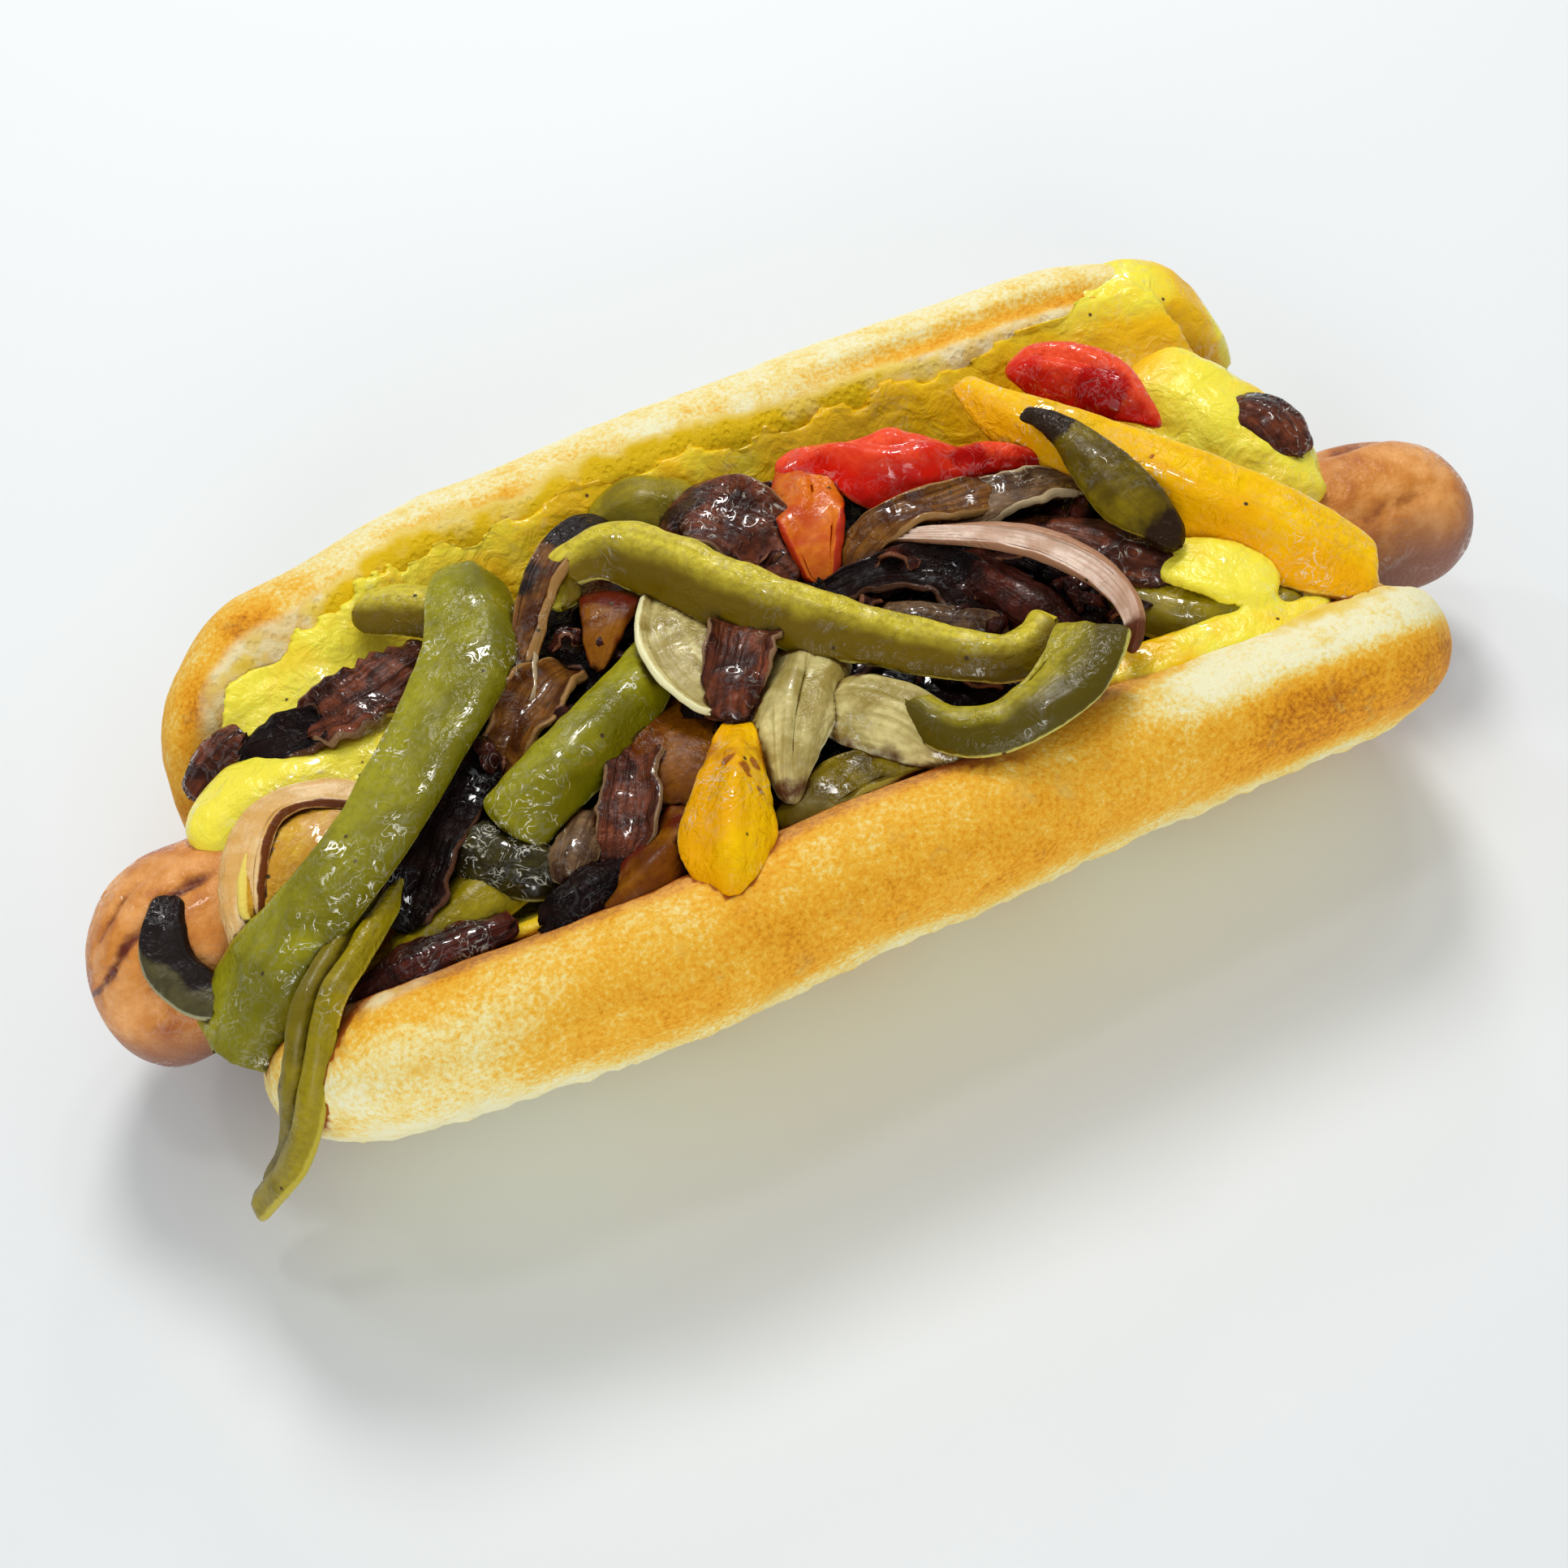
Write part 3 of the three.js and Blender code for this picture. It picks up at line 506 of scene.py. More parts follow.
CHARRED_ONION = flesh(
    "charred onion", (0.015, 0.005, 0.004), (0.004, 0.002, 0.002), (0.10, 0.04, 0.02),
    juice_and_shade=(0.006, 0.003, 0.003), width=0.06, fibre=0.8, charring=0.1, specks=0.0, blotch=4.0, relief=0.34,
    wetness=0.48, painted_glint=0.2, ior=1.17,
)
DEEP_ONION = flesh(
    "deep onion", (0.095, 0.015, 0.006), (0.016, 0.004, 0.003), (0.22, 0.08, 0.035),
    juice_and_shade=(0.012, 0.003, 0.002), width=0.07, fibre=0.9, charring=0.1, specks=0.0, blotch=3.5, relief=0.3,
    wetness=0.52, painted_glint=0.3, ior=1.2,
)
PURPLE_ONION = flesh(
    "purple onion", (0.22, 0.055, 0.022), (0.028, 0.007, 0.004), (0.28, 0.16, 0.08),
    juice_and_shade=(0.02, 0.004, 0.003), width=0.05, fibre=1.0, charring=0.12, specks=0.0, blotch=3.5, relief=0.3,
    wetness=0.56, ior=1.22,
)
GLASSY_SKIN = flesh(
    "glassy skin", (0.045, 0.035, 0.002), (0.012, 0.008, 0.002), (0.30, 0.28, 0.10),
    juice_and_shade=(0.01, 0.006, 0.002), width=0.1, specks=0.0, blotch=4.0, relief=0.3, wetness=0.75,
)
CURL_SKIN = flesh(
    "curl of dark skin", (0.10, 0.085, 0.03), (0.05, 0.04, 0.015), (0.36, 0.33, 0.18), width=0.16,
    specks=0.0, blotch=4.0, relief=0.3,
)


def crust_finish():
    """Soft bread: a golden crust that pales to cream, the open crumb of the cut with painted shade in its
    pores, mustard stains, and painted shade where pieces hem it in, partly oil.
    """
    material, made, shader = new_finish("crust", IOR=1.25)
    where = made.millimetres()
    broad = made.grain(where, 16, 3)
    middle = made.grain(where, 3.2, 4, 0.4)
    fine = made.grain(where, 0.6, 4, 0.0, 0.7)
    tone = made.waver(made.attribute("toast"), broad, 0.35)
    tone = made.waver(tone, middle, 0.5)
    tone = made.waver(tone, fine, 1.1)
    colour = made.ramp(
        tone,
        (0.0, (0.96, 0.90, 0.58)),
        (0.22, (0.95, 0.76, 0.27)),
        (0.45, (0.93, 0.51, 0.045)),
        (0.68, (0.86, 0.36, 0.01)),
        (1.0, (0.45, 0.12, 0.004)),
    )
    pores = made.step(made.cells(where, 1.1)["Distance"], 0.15, 0.5)
    # Painted shade: the crumb is darker in its pores.
    pore_shade = made.math("MULTIPLY", made.step(pores, 0.5, 0.1), 0.25)
    crumb_colour = made.mix(made.step(middle, 0.35, 0.65), (0.93, 0.80, 0.46), (0.82, 0.55, 0.18))
    crumb_colour = made.mix(pore_shade, crumb_colour, (0.7, 0.42, 0.12))
    crumb = made.attribute("crumb")
    colour = made.mix(crumb, colour, crumb_colour)
    stain = made.waver(made.attribute("stain"), middle, 1.1)
    colour = made.mix(made.step(stain, 0.05, 0.5), colour, (0.90, 0.66, 0.14))
    colour = made.mix(made.step(stain, 0.4, 0.9), colour, (0.80, 0.51, 0.0))
    # Painted shade where the pieces hem the bread in, partly oil soaked into the rim.
    gap_shade_amount = made.waver(made.attribute("gap_shade"), middle, 0.6)
    colour = made.mix(made.step(gap_shade_amount, 0.1, 0.42), colour, (0.36, 0.08, 0.005))
    made.feed(shader.inputs["Base Color"], colour)
    made.feed(shader.inputs["Roughness"], made.step(middle, 0.3, 0.7, 0.5, 0.66))
    height = made.math("MULTIPLY_ADD", fine, 0.5, made.math("MULTIPLY", middle, 0.7))
    height = made.math("MULTIPLY_ADD", made.math("MULTIPLY", pores, crumb), 0.35, height)
    raise_surface(made, shader, height, 0.42)
    return material


def sausage_finish():
    """Grilled skin: orange-brown with reddish creases, and painted shade that greys the underside."""
    material, made, shader = new_finish("sausage skin", IOR=1.36, Coat_Roughness=0.12, Coat_IOR=1.6)
    where = made.millimetres()
    broad = made.grain(where, 11, 3, 0.5)
    middle = made.grain(where, 2.4, 4)
    fine = made.grain(where, 0.6, 3)
    tone = made.waver(made.waver(0.42, broad, 1.5), middle, 0.9)
    colour = made.ramp(
        tone,
        (0.1, (0.90, 0.42, 0.13)),
        (0.45, (0.68, 0.25, 0.04)),
        (0.85, (0.40, 0.085, 0.014)),
    )
    # Painted shade greys the underside.
    colour = made.mix(made.attribute("under"), colour, (0.26, 0.105, 0.065))
    scorch = made.waver(made.attribute("char"), middle, 0.8)
    colour = made.mix(made.step(scorch, 0.25, 0.85), colour, (0.13, 0.018, 0.006))
    made.feed(shader.inputs["Roughness"], made.step(fine, 0.3, 0.7, 0.3, 0.46))
    raise_surface(made, shader, made.math("MULTIPLY_ADD", fine, 0.3, middle), 0.4)
    glaze(made, shader, colour, 0.5, 3.5, 0.0)
    return material


def mustard_finish():
    """Wet sauce: bright yellow where it is thick, deeper gold where it has soaked in, with a few specks and
    painted shade where pieces hem it in.
    """
    material, made, shader = new_finish(
        "mustard sauce", IOR=1.36, Subsurface_Weight=0.15, Subsurface_Scale=GLOW_REACH["sauce"], **WET_COAT
    )
    where = made.millimetres()
    broad = made.grain(where, 10, 3, 0.7)
    fine = made.grain(where, 1.2, 4)
    colour = made.ramp(
        made.waver(made.attribute("soaked"), broad, 0.9),
        (0.1, (1.0, 0.84, 0.06)),
        (0.4, (1.0, 0.58, 0.0)),
        (0.7, (0.82, 0.46, 0.0)),
        (1.0, (0.55, 0.26, 0.0)),
    )
    # Painted shade where the pieces hem the sauce in.
    gap_shade_amount = made.waver(made.attribute("gap_shade"), broad, 0.6)
    colour = made.mix(made.step(gap_shade_amount, 0.46, 1.0), colour, (0.46, 0.22, 0.001))
    colour = made.mix(made.specks(where, 2.2, 0.08, 0.16, channel=1), colour, (0.12, 0.06, 0.01))
    made.feed(shader.inputs["Roughness"], made.step(broad, 0.35, 0.65, 0.16, 0.34))
    raise_surface(made, shader, made.math("MULTIPLY_ADD", fine, 0.45, made.grain(where, 3.0, 3, 1.0)), 0.5)
    glaze(made, shader, colour, 0.5, 3.6, 0.35)
    return material


CRUST = crust_finish()
SAUSAGE_SKIN = sausage_finish()
MUSTARD = mustard_finish()


# The bun

# Rows: x, rim y, rim z, lean from upright in degrees, height radius, depth of the cut, thickness.
NEAR_HALF = {
    "start": -76.5,
    "end": 74.5,
    "side": -1,
    "rows": [
        (-78, -31.5, 31, 36, 17, 7, 15.5),
        (-60, -34.5, 34.5, 37, 20, 7.5, 17),
        (-30, -35.5, 36.3, 37, 21.3, 7.5, 18),
        (0, -32.8, 36.3, 37, 21.5, 7.5, 18.2),
        (30, -30.2, 36, 37, 21.5, 7.5, 18.2),
        (60, -28.4, 35.6, 37, 21, 7.5, 18),
        (75, -27.5, 34, 37, 20, 7.5, 17.5),
    ],
}
FAR_HALF = {
    "start": -77,
    "end": 75,
    "side": 1,
    "rows": [
        (-75, 16, 32, 42, 20, 8.2, 18.5),
        (-60, 21, 33.8, 42, 21.2, 8.3, 19.2),
        (-34, 26.5, 34.5, 42, 22, 8.4, 19.6),
        (0, 28, 34.6, 40, 22.3, 8.6, 19.6),
        (25, 29.2, 34.8, 39, 23, 8.6, 19.8),
        (50, 30, 35, 39, 22, 8.5, 19.6),
        (75, 28, 33.5, 38, 21, 8.3, 19),
    ],
}
LOAF_POWER = 2.3
LOAF_END_POWER = 13
LOAF_END_SOFTNESS = 0.42
CRUST_SHARE = 0.74
UNDERSIDE = 0.6
BREAD_DENTS = ((0.45, 17, 3), (0.2, 6, 5), (0.07, 2.2, 8))
BREAD_VOXEL = 0.78
BREAD_ROUNDS = 5
HALF_GRID = (150, 120)
FLOOR_GRID = (110, 48)
# seam is where the halves meet, in y at x = 0, and slant is how far it moves in y along x.
FLOOR = {
    "start": -71, "end": 67, "end_power": 8, "half_width": 19, "thick": 4.4, "underside": -1, "lip": 3,
    "upturn": 3.4, "slant": 0.04, "seam": -4,
}
# The groove that is browned into the right part of the far half's rim, beside its cut.
GROOVE = {"from_cut": 1.8, "depth": 0.9, "begins": (10, 34), "ends": (72, 60)}

Oval = namedtuple("Oval", "middle up out tall thick depth")
Spot = namedtuple("Spot", "half rise reach from_cut")


def end_scale(x, start, end, power=LOAF_END_POWER):
    """How far a rounded end has closed: 1 in the middle, 0 at the tip."""
    reach = min(abs(x - (start + end) / 2) / ((end - start) / 2), 1)
    return (1 - reach**power) ** LOAF_END_SOFTNESS


def station(u, start, end, crowd=0.45):
    """A place along x that moves faster in the middle than towards the two ends."""
    s = 2 * u - 1
    eased = crowd * math.sin(s * math.pi / 2) + (1 - crowd) * s
    return (start + end) / 2 + eased * (end - start) / 2


def half_oval(half, x):
    """The oval section of a half at x: its middle, its two directions, its radii and the cut's depth."""
    rim_y, rim_z, lean, tall, depth, whole = read_at(half["rows"], x)
    lean = math.radians(lean)
    thick = whole - depth
    up = Vector((0, half["side"] * math.sin(lean), math.cos(lean)))
    out = Vector((0, half["side"] * math.cos(lean), -math.sin(lean)))
    cut_up = tall * (1 - (depth / thick) ** LOAF_POWER) ** (1 / LOAF_POWER)
    middle = Vector((x, rim_y, rim_z)) - up * cut_up + out * depth
    return Oval(middle, up, out, tall, thick, depth)


def half_at(half, x, v):
    """A half is an oval log with a flat cut face, which takes the last part of v."""
    oval = half_oval(half, x)
    scale = end_scale(x, half["start"], half["end"])
    first = math.asin(min(oval.depth / oval.thick, 1))
    angle = blend(-first, math.pi + first, min(v / CRUST_SHARE, 1))
    c, s = math.cos(angle), math.sin(angle)
    stretch = (abs(c) ** LOAF_POWER + abs(s) ** LOAF_POWER) ** (-1 / LOAF_POWER)
    rise = c * stretch
    if v > CRUST_SHARE:
        rise = blend(rise, -rise, (v - CRUST_SHARE) / (1 - CRUST_SHARE))
    reach = max(s * stretch * oval.thick, -oval.depth)
    return oval.middle + oval.up * (oval.tall * rise * scale) + oval.out * (reach * scale)


def half_point(half, u, v):
    return half_at(half, station(u, half["start"], half["end"]), v)


def floor_point(u, v):
    """The bread under the sausage that joins the halves."""
    x = station(u, FLOOR["start"], FLOOR["end"])
    s = end_scale(x, FLOOR["start"], FLOOR["end"], FLOOR["end_power"])
    width = FLOOR["half_width"] * (0.25 + 0.75 * s)
    top = FLOOR["thick"] * (0.4 + 0.6 * s)
    under = FLOOR["underside"] + FLOOR["upturn"] * (1 - s)
    angle = 2 * math.pi * v
    across = math.cos(angle)
    y = x * FLOOR["slant"] + across * width
    face = (1 - across**6) ** 0.5
    z = blend((top + under) / 2, top if math.sin(angle) > 0 else under, face)
    z += FLOOR["lip"] * max(0, abs(across) - 0.6)
    return Vector((x, y, z * min(1, 4 * s)))


def half_spot(point):
    """A point's half, its height and reach in that half's oval, and how far it is off the cut."""
    half = FAR_HALF if point.y > point.x * FLOOR["slant"] + FLOOR["seam"] else NEAR_HALF
    oval = half_oval(half, point.x)
    off = point - oval.middle
    reach = off.dot(oval.out)
    return Spot(half, off.dot(oval.up) / oval.tall, reach / oval.thick, reach + oval.depth)


def bread_skin(point, normal):
    """Uneven bread: soft dents, a rougher cut, a groove along the far rim and a torn near rim."""
    half, rise, reach, from_cut = half_spot(point)
    move = uneven(point, BREAD_DENTS)
    move -= crumb_rule(point) * (0.3 * max(0, lumps(point, 3.2, 21)) + 0.2 * max(0, lumps(point, 1.4, 4)))
    if half is FAR_HALF:
        groove = ease(1.5, 0.3, abs(from_cut - GROOVE["from_cut"])) * ease(0.6, 0.9, rise)
        groove *= ease(*GROOVE["begins"], point.x) * ease(*GROOVE["ends"], point.x)
        move -= GROOVE["depth"] * groove
    else:
        torn = ease(0.72, 0.95, reach)
        move += torn * (0.3 * lumps(point, 3.4, 17) + 0.5 * max(0, lumps(point, 1.8, 9)))
    raised = point + normal * move if point.z >= UNDERSIDE else point.copy()
    raised.z = max(raised.z, 0.0)
    return raised


def crumb_rule(point):
    """1 on the open crumb of the cut and 0 on the crust. Oil has darkened the near half's cut."""
    spot = half_spot(point)
    open_crumb = ease(1.6, 0.7, spot.from_cut + 0.5 * lumps(point, 4, 2)) * ease(1.6, 3.0, point.z)
    if spot.half is NEAR_HALF:
        open_crumb *= 0.15 + 0.85 * ease(52, 64, abs(point.x))
    return open_crumb


def toast_rule(point):
    """How brown the crust is."""
    half, rise, reach, from_cut = half_spot(point)
    x = point.x
    if half is NEAR_HALF:
        toast = 0.5 + 0.1 * ease(-0.4, 0.2, reach) + 0.12 * lumps(point, 15, 31)
        toast -= 0.36 * ease(-30, -60, x) * ease(-0.7, 0.1, reach)
        toast -= 0.42 * ease(0.62, 0.96, reach)
        toast -= 0.62 * ease(22, 44, x) * ease(0.08, -0.3, reach)
        toast += 0.14 * ease(28, 48, x) * ease(0.0, 0.3, reach) * ease(0.95, 0.7, reach)
        toast += 0.45 * ease(1.8, 0.3, from_cut) * ease(46, 30, x)
    else:
        toast = 0.1 + 0.36 * ease(-40, -66, x) + 0.34 * ease(0.5, -0.4, rise)
        toast += 0.5 * max(0, lumps(point, 4.5, 40) + 0.2) * ease(5.5, 1.5, from_cut) * ease(30, 4, x)
        groove = ease(1.7, 0.4, abs(from_cut - GROOVE["from_cut"])) * ease(0.6, 0.9, rise)
        toast += 0.6 * groove * ease(*GROOVE["begins"], x)
    return clamp(toast + 0.1 * lumps(point, 9, 11))


def stain_rule(point):
    """How far mustard has soaked into the rims and the cuts."""
    spot = half_spot(point)
    if spot.half is NEAR_HALF:
        return 0.8 * ease(2.5, 0.5, spot.from_cut) * ease(46, 52, point.x) * ease(0.6, 0.9, spot.rise)
    spread = 2.4 + 1.5 * lumps(point, 6, 12) + 0.8 * lumps(point, 2.4, 5)
    spread -= 1.9 * ease(-46, -60, point.x) + 0.5 * ease(6, 20, point.x)
    stain = ease(spread + 0.3, spread - 2.2, spot.from_cut)
    return stain * ease(0.2, 0.5, spot.rise) * (1 - 0.9 * ease(29, 36, point.x) * ease(56, 51, point.x))


def bun():
    bm = bmesh.new()
    for half in (NEAR_HALF, FAR_HALF):
        lay_form(bm, *HALF_GRID, lambda u, v, half=half: half_point(half, u, v))
    lay_form(bm, *FLOOR_GRID, floor_point)
    cut = bmesh.ops.bisect_plane(
        bm, geom=bm.verts[:] + bm.edges[:] + bm.faces[:], plane_co=(0, 0, 0), plane_no=UP, clear_inner=True
    )
    rim = [e for e in cut["geom_cut"] if isinstance(e, bmesh.types.BMEdge)]
    bmesh.ops.holes_fill(bm, edges=rim, sides=0)
    bm = fuse(bm, "bun", BREAD_VOXEL, BREAD_ROUNDS)
    sculpt(bm, bread_skin)
    mark(bm, "toast", toast_rule)
    mark(bm, "crumb", crumb_rule)
    mark(bm, "stain", stain_rule)
    show(bm, "bun_bread", CRUST, "bun")


# The sausage

# Rows: x, y, z, radius.
SAUSAGE = [
    (-92, -10.5, 18.6, 12),
    (-78, -8.6, 18.8, 12.4),
    (-40, -4.5, 18.6, 11.9),
    (0, -2.6, 18.2, 11.4),
    (40, -2.6, 17.6, 10.9),
    (75, -4.6, 17.6, 10.3),
    (92, -6.2, 17.2, 9.8),
]
SAUSAGE_CROWD = 0.75
SAUSAGE_GRID = (300, 110)
DOME_LENGTH = 11
DOME_POWER = 2.5
UNDER_LINE = (18.5, 23)
UNDER_SOFTNESS = 5

# Creases in the skin: x and angle at the start, x and angle at the end, depth, half width, scorch.
CREASES = [
    (-92, 124, -77, 92, 0.8, 1.2, 0.8),
    (-91, 102, -82, 72, 0.5, 0.9, 0.4),
    (-91, 60, -84, 44, 0.5, 0.9, 0.4),
    (76, 60, 90, 38, 0.7, 1.2, 0.5),
    (74, 128, 82, 120, 0.5, 1.4, 0.4),
]
CREASE_FADE = 2.5
CREASE_WANDER = 5


def sausage_place(u, v):
    start, end = SAUSAGE[0][0], SAUSAGE[-1][0]
    x = station(u, start, end, SAUSAGE_CROWD)
    y, z, radius = read_at(SAUSAGE, x)
    tip = min(x - start, end - x)
    scale = math.sqrt(1 - (1 - tip / DOME_LENGTH) ** DOME_POWER) if tip < DOME_LENGTH else 1
    angle = 2 * math.pi * v
    ring = Vector((0, math.cos(angle), math.sin(angle)))
    point = Vector((x, y, z)) + ring * (radius * scale)
    move = 0.4 * lumps(point, 12, 1) + 0.22 * lumps(point, 4, 6) * ease(20, 4, tip)
    scorch = 0.3 * max(0, lumps(point, 6, 3))
    degrees = math.degrees(angle)
    for x0, a0, x1, a1, depth, width, burn in CREASES:
        middle = blend(a0, a1, clamp((x - x0) / (x1 - x0)))
        middle -= CREASE_WANDER * lumps((x, 0, 0), 4, a0)
        aside = (degrees - middle) * math.radians(radius)
        past = max(0, x0 - x, x - x1)
        fall = math.exp(-((aside / width) ** 2) - (past / CREASE_FADE) ** 2)
        move -= depth * fall
        scorch += burn * fall
    return point + ring * move * scale, (x, 0, 0), clamp(scorch)


def underside_shade_rule(point):
    """1 on the greyer underside, painted shade below a wavy line that rises towards the right end."""
    line = blend(*UNDER_LINE, ease(40, 70, point.x))
    return ease(line + UNDER_SOFTNESS, line - UNDER_SOFTNESS, point.z + 3 * lumps(point, 9, 2))


def sausage():
    bm = bmesh.new()
    lay_grid(bm, *SAUSAGE_GRID, sausage_place)
    mark(bm, "under", underside_shade_rule)
    show(bm, "sausage_grilled", SAUSAGE_SKIN, "sausage")


# Strips of pepper and onion

FLAT = ((-1, 0), (-0.4, 0.04), (0.4, 0.04), (1, 0))
ARCHED = ((-1, -0.42), (-0.6, -0.08), (0, 0.12), (0.6, -0.08), (1, -0.42))
CUPPED = ((-1, 0.4), (-0.6, 0.08), (0, -0.1), (0.6, 0.08), (1, 0.4))
ROUTE_REACH = 0.02
SECTION_REACH = 0.03
# How blunt a sheet's long edges are, how thin its ends get, and how far in a cut end leans and tears.
EDGE_POWER = 10
THIN_END = 0.25
LEAN_REACH = 7
TEAR_REACH = 5


def route_frames(route, columns):
    """For each column: the middle, the directions across and up, the width, and the way from the start."""
    frames = []
    run = 0.0
    for i in range(columns + 1):
        t = i / columns
        x, y, z, width, tilt = along(route, t)
        before, after = along(route, t - ROUTE_REACH), along(route, t + ROUTE_REACH)
        ahead = (Vector(after[:3]) - Vector(before[:3])).normalized()
        level = UP.cross(ahead).normalized()
        across = Matrix.Rotation(math.radians(tilt), 3, ahead) @ level
        middle = Vector((x, y, z))
        if frames:
            run += (middle - frames[-1][0]).length
        frames.append((middle, across, ahead.cross(across), width, run))
    return frames


def bent(rows, s):
    """A point at s, from 0 to 1, on a bent line of rows (across, rise), a little rounded."""
    last = len(rows) - 1
    across, rise = 0.0, 0.0
    for shift, share in ((-0.025, 0.25), (0, 0.5), (0.025, 0.25)):
        spot = clamp(s + shift) * last
        i = min(int(spot), last - 1)
        across += share * blend(rows[i][0], rows[i + 1][0], spot - i)
        rise += share * blend(rows[i][1], rows[i + 1][1], spot - i)
    return across, rise


def bent_sections(shapes, rings):
    """For each place round a sheet and each of its sections: across, rise and the direction there."""
    table = []
    for ring in range(rings + 1):
        s = (math.cos(2 * math.pi * ring / rings) + 1) / 2
        row = []
        for rows in shapes:
            before, after = bent(rows, s - SECTION_REACH), bent(rows, s + SECTION_REACH)
            row.append((*bent(rows, s), after[0] - before[0], after[1] - before[1]))
        table.append(row)
    return table


def band(bm, route, thick, shapes=(FLAT,), tips=(1, 1), slant=(0, 0), ragged=0.25, dents=0.3, crinkle=0.08,
         ripple=0.0, wave=7.0, rims=(0, 0), burns=(), seed=0.0, rings=64, step=0.5):
    """A closed sheet of flesh along a route of rows (x, y, z, width, tilt).

    shapes are bent sections from the start to the end, each rows of (across, rise) in half widths.
    tips are the lengths over which the ends close and slant is how far each cut end leans.
    rims say how browned the two long edges are, and burns are rows of (share along, place
    across, millimetres wide, strength).
    """
    reach = sum((Vector(b[:3]) - Vector(a[:3])).length for a, b in zip(route, route[1:]))
    columns = max(16, round(reach / step))
    frames = route_frames(route, columns)
    whole = frames[-1][4]
    sections = bent_sections(shapes, rings)

    def place(u, v):
        middle, across, up, width, run = frames[round(u * columns)]
        close = 1.0
        for tip, gone in zip(tips, (run, whole - run)):
            if gone < tip:
                close = min(close, math.sqrt(max(0, 1 - (1 - gone / tip) ** 2)))
        angle = 2 * math.pi * v
        side = math.cos(angle)
        top = 1 if math.sin(angle) >= 0 else -1
        face = top * math.sqrt(max(0, 1 - side**EDGE_POWER))

        stage = run / whole * (len(shapes) - 1)
        first = min(int(stage), max(len(shapes) - 2, 0))
        beside = sections[round(v * rings)]
        pair = zip(beside[first], beside[min(first + 1, len(shapes) - 1)])
        aside, rise, to_side, to_top = [blend(p, q, ease(0, 1, stage - first)) for p, q in pair]
        length = math.hypot(to_side, to_top) or 1
        facing = up * (to_side / length) - across * (to_top / length)

        half = width / 2 * (1 + 0.3 * ragged * lumps((run, side, seed), 8, seed)) * close
        sway = lumps((run, 3 * side, seed), 3.4, seed) + 0.5 * lumps((run, 2 * side, seed), 1.3, seed + 5)
        body = thick / 2 * blend(THIN_END, 1, close) * (1 + 0.3 * lumps((run, side * 4, seed + 9), 4, seed))
        push = dents * lumps((run, side * width / 2, seed), 6, seed)
        push += ripple * abs(side) ** 1.5 * math.sin(2 * math.pi * run / wave + seed + 0.8 * side)
        lean = side * (slant[0] * ease(LEAN_REACH, 0, run) + slant[1] * ease(LEAN_REACH, 0, whole - run))
        ends = ease(TEAR_REACH, 0, run) - ease(TEAR_REACH, 0, whole - run)
        lean += ragged * 1.6 * ends * lumps((side * 3, seed, ends), 0.9, seed)
        point = middle + across * (half * aside + ragged * sway * side * close) + up * (half * rise)
        point += facing * (body * face + push * close) + across.cross(up) * lean
        point += facing * (crinkle * close * (lumps(point, 2.4, seed) + 0.5 * lumps(point, 1.1, seed)))

        burnt = rims[0] * ease(-0.5, -1, side) + rims[1] * ease(0.5, 1, side)
        for share, place_across, size, strength in burns:
            far = math.hypot(run - share * whole, (side - place_across) * width / 2)
            burnt += strength * ease(1.3, 0.3, far / size)
        return point, (run + 40 * seed, side, face), min(burnt, 1.2)

    lay_grid(bm, columns, rings, place)


def strip(node, finish, thick, shapes, tips, route, **more):
    """A strip that stands for the node of the same name. For the rest see band."""
    bm = bmesh.new()
    band(bm, route, thick, shapes, tips, **more)
    show(bm, node + "_fried", finish, node)


# Bent sections for the strips, each from one long edge to the other in half widths.
LONG_TOP = ((-1, -0.1), (-0.6, 0.02), (0.0, 0.1), (0.12, 0.06), (1, -0.75))
LONG_MIDDLE = ((-1, -0.08), (-0.85, 0.0), (0.0, 0.06), (0.8, 0.06), (1, -0.25))
LONG_END = ((-1, -0.06), (-0.7, 0.02), (0.2, 0.05), (0.46, 0.0), (0.76, -1.1))
RIDGE = ((-1, -0.95), (-0.5, -0.35), (0.1, 0.16), (0.7, 0.22), (1, 0.02))
RIDGE_END = ((-1, -0.6), (-0.5, -0.15), (0, 0.16), (0.5, 0.05), (1, -0.3))
FOLDED = ((-1, -0.3), (-0.6, 0.0), (0.1, 0.16), (0.4, -0.05), (1, -1.0))
HOOKED = ((-1, -0.95), (-0.4, -0.1), (0.1, 0.16), (0.6, 0.16), (1, 0.0))
HOOK_TOP = ((-1, -0.5), (-0.7, -0.05), (0.1, 0.08), (0.8, 0.04), (1, 0.2))
SLOPED = ((-1, -0.95), (-0.55, -0.1), (-0.1, 0.06), (0.6, 0.1), (1, 0.0))
PINCHED = ((-1, -0.7), (-0.5, -0.2), (-0.1, 0.25), (0.5, 0.1), (1, -0.2))
SHELL = ((-1, -0.7), (-0.7, -0.2), (0, 0.1), (0.7, -0.2), (1, -0.7))
GUTTER = ((-1, 0.45), (-0.65, 0.1), (0, -0.06), (0.65, 0.08), (1, 0.4))
DISHED = ((-1, 0.2), (-0.7, 0.0), (0, -0.02), (0.75, 0.0), (1, 0.34))
CREASED = ((-1, -0.75), (-0.3, -0.22), (0.04, 0.18), (0.5, 0.14), (1, -0.05))
TILTED = ((-1, 0.32), (-0.7, 0.02), (0, 0.0), (0.75, -0.14), (1, -0.4))
RIBBED = ((-1, -0.85), (-0.55, -0.34), (-0.22, 0.12), (0.1, 0.03), (1, 0.0))
DOUBLED = ((-1, -0.8), (-0.5, -0.3), (-0.1, 0.16), (0.25, -0.02), (0.6, 0.12), (1, -0.12))
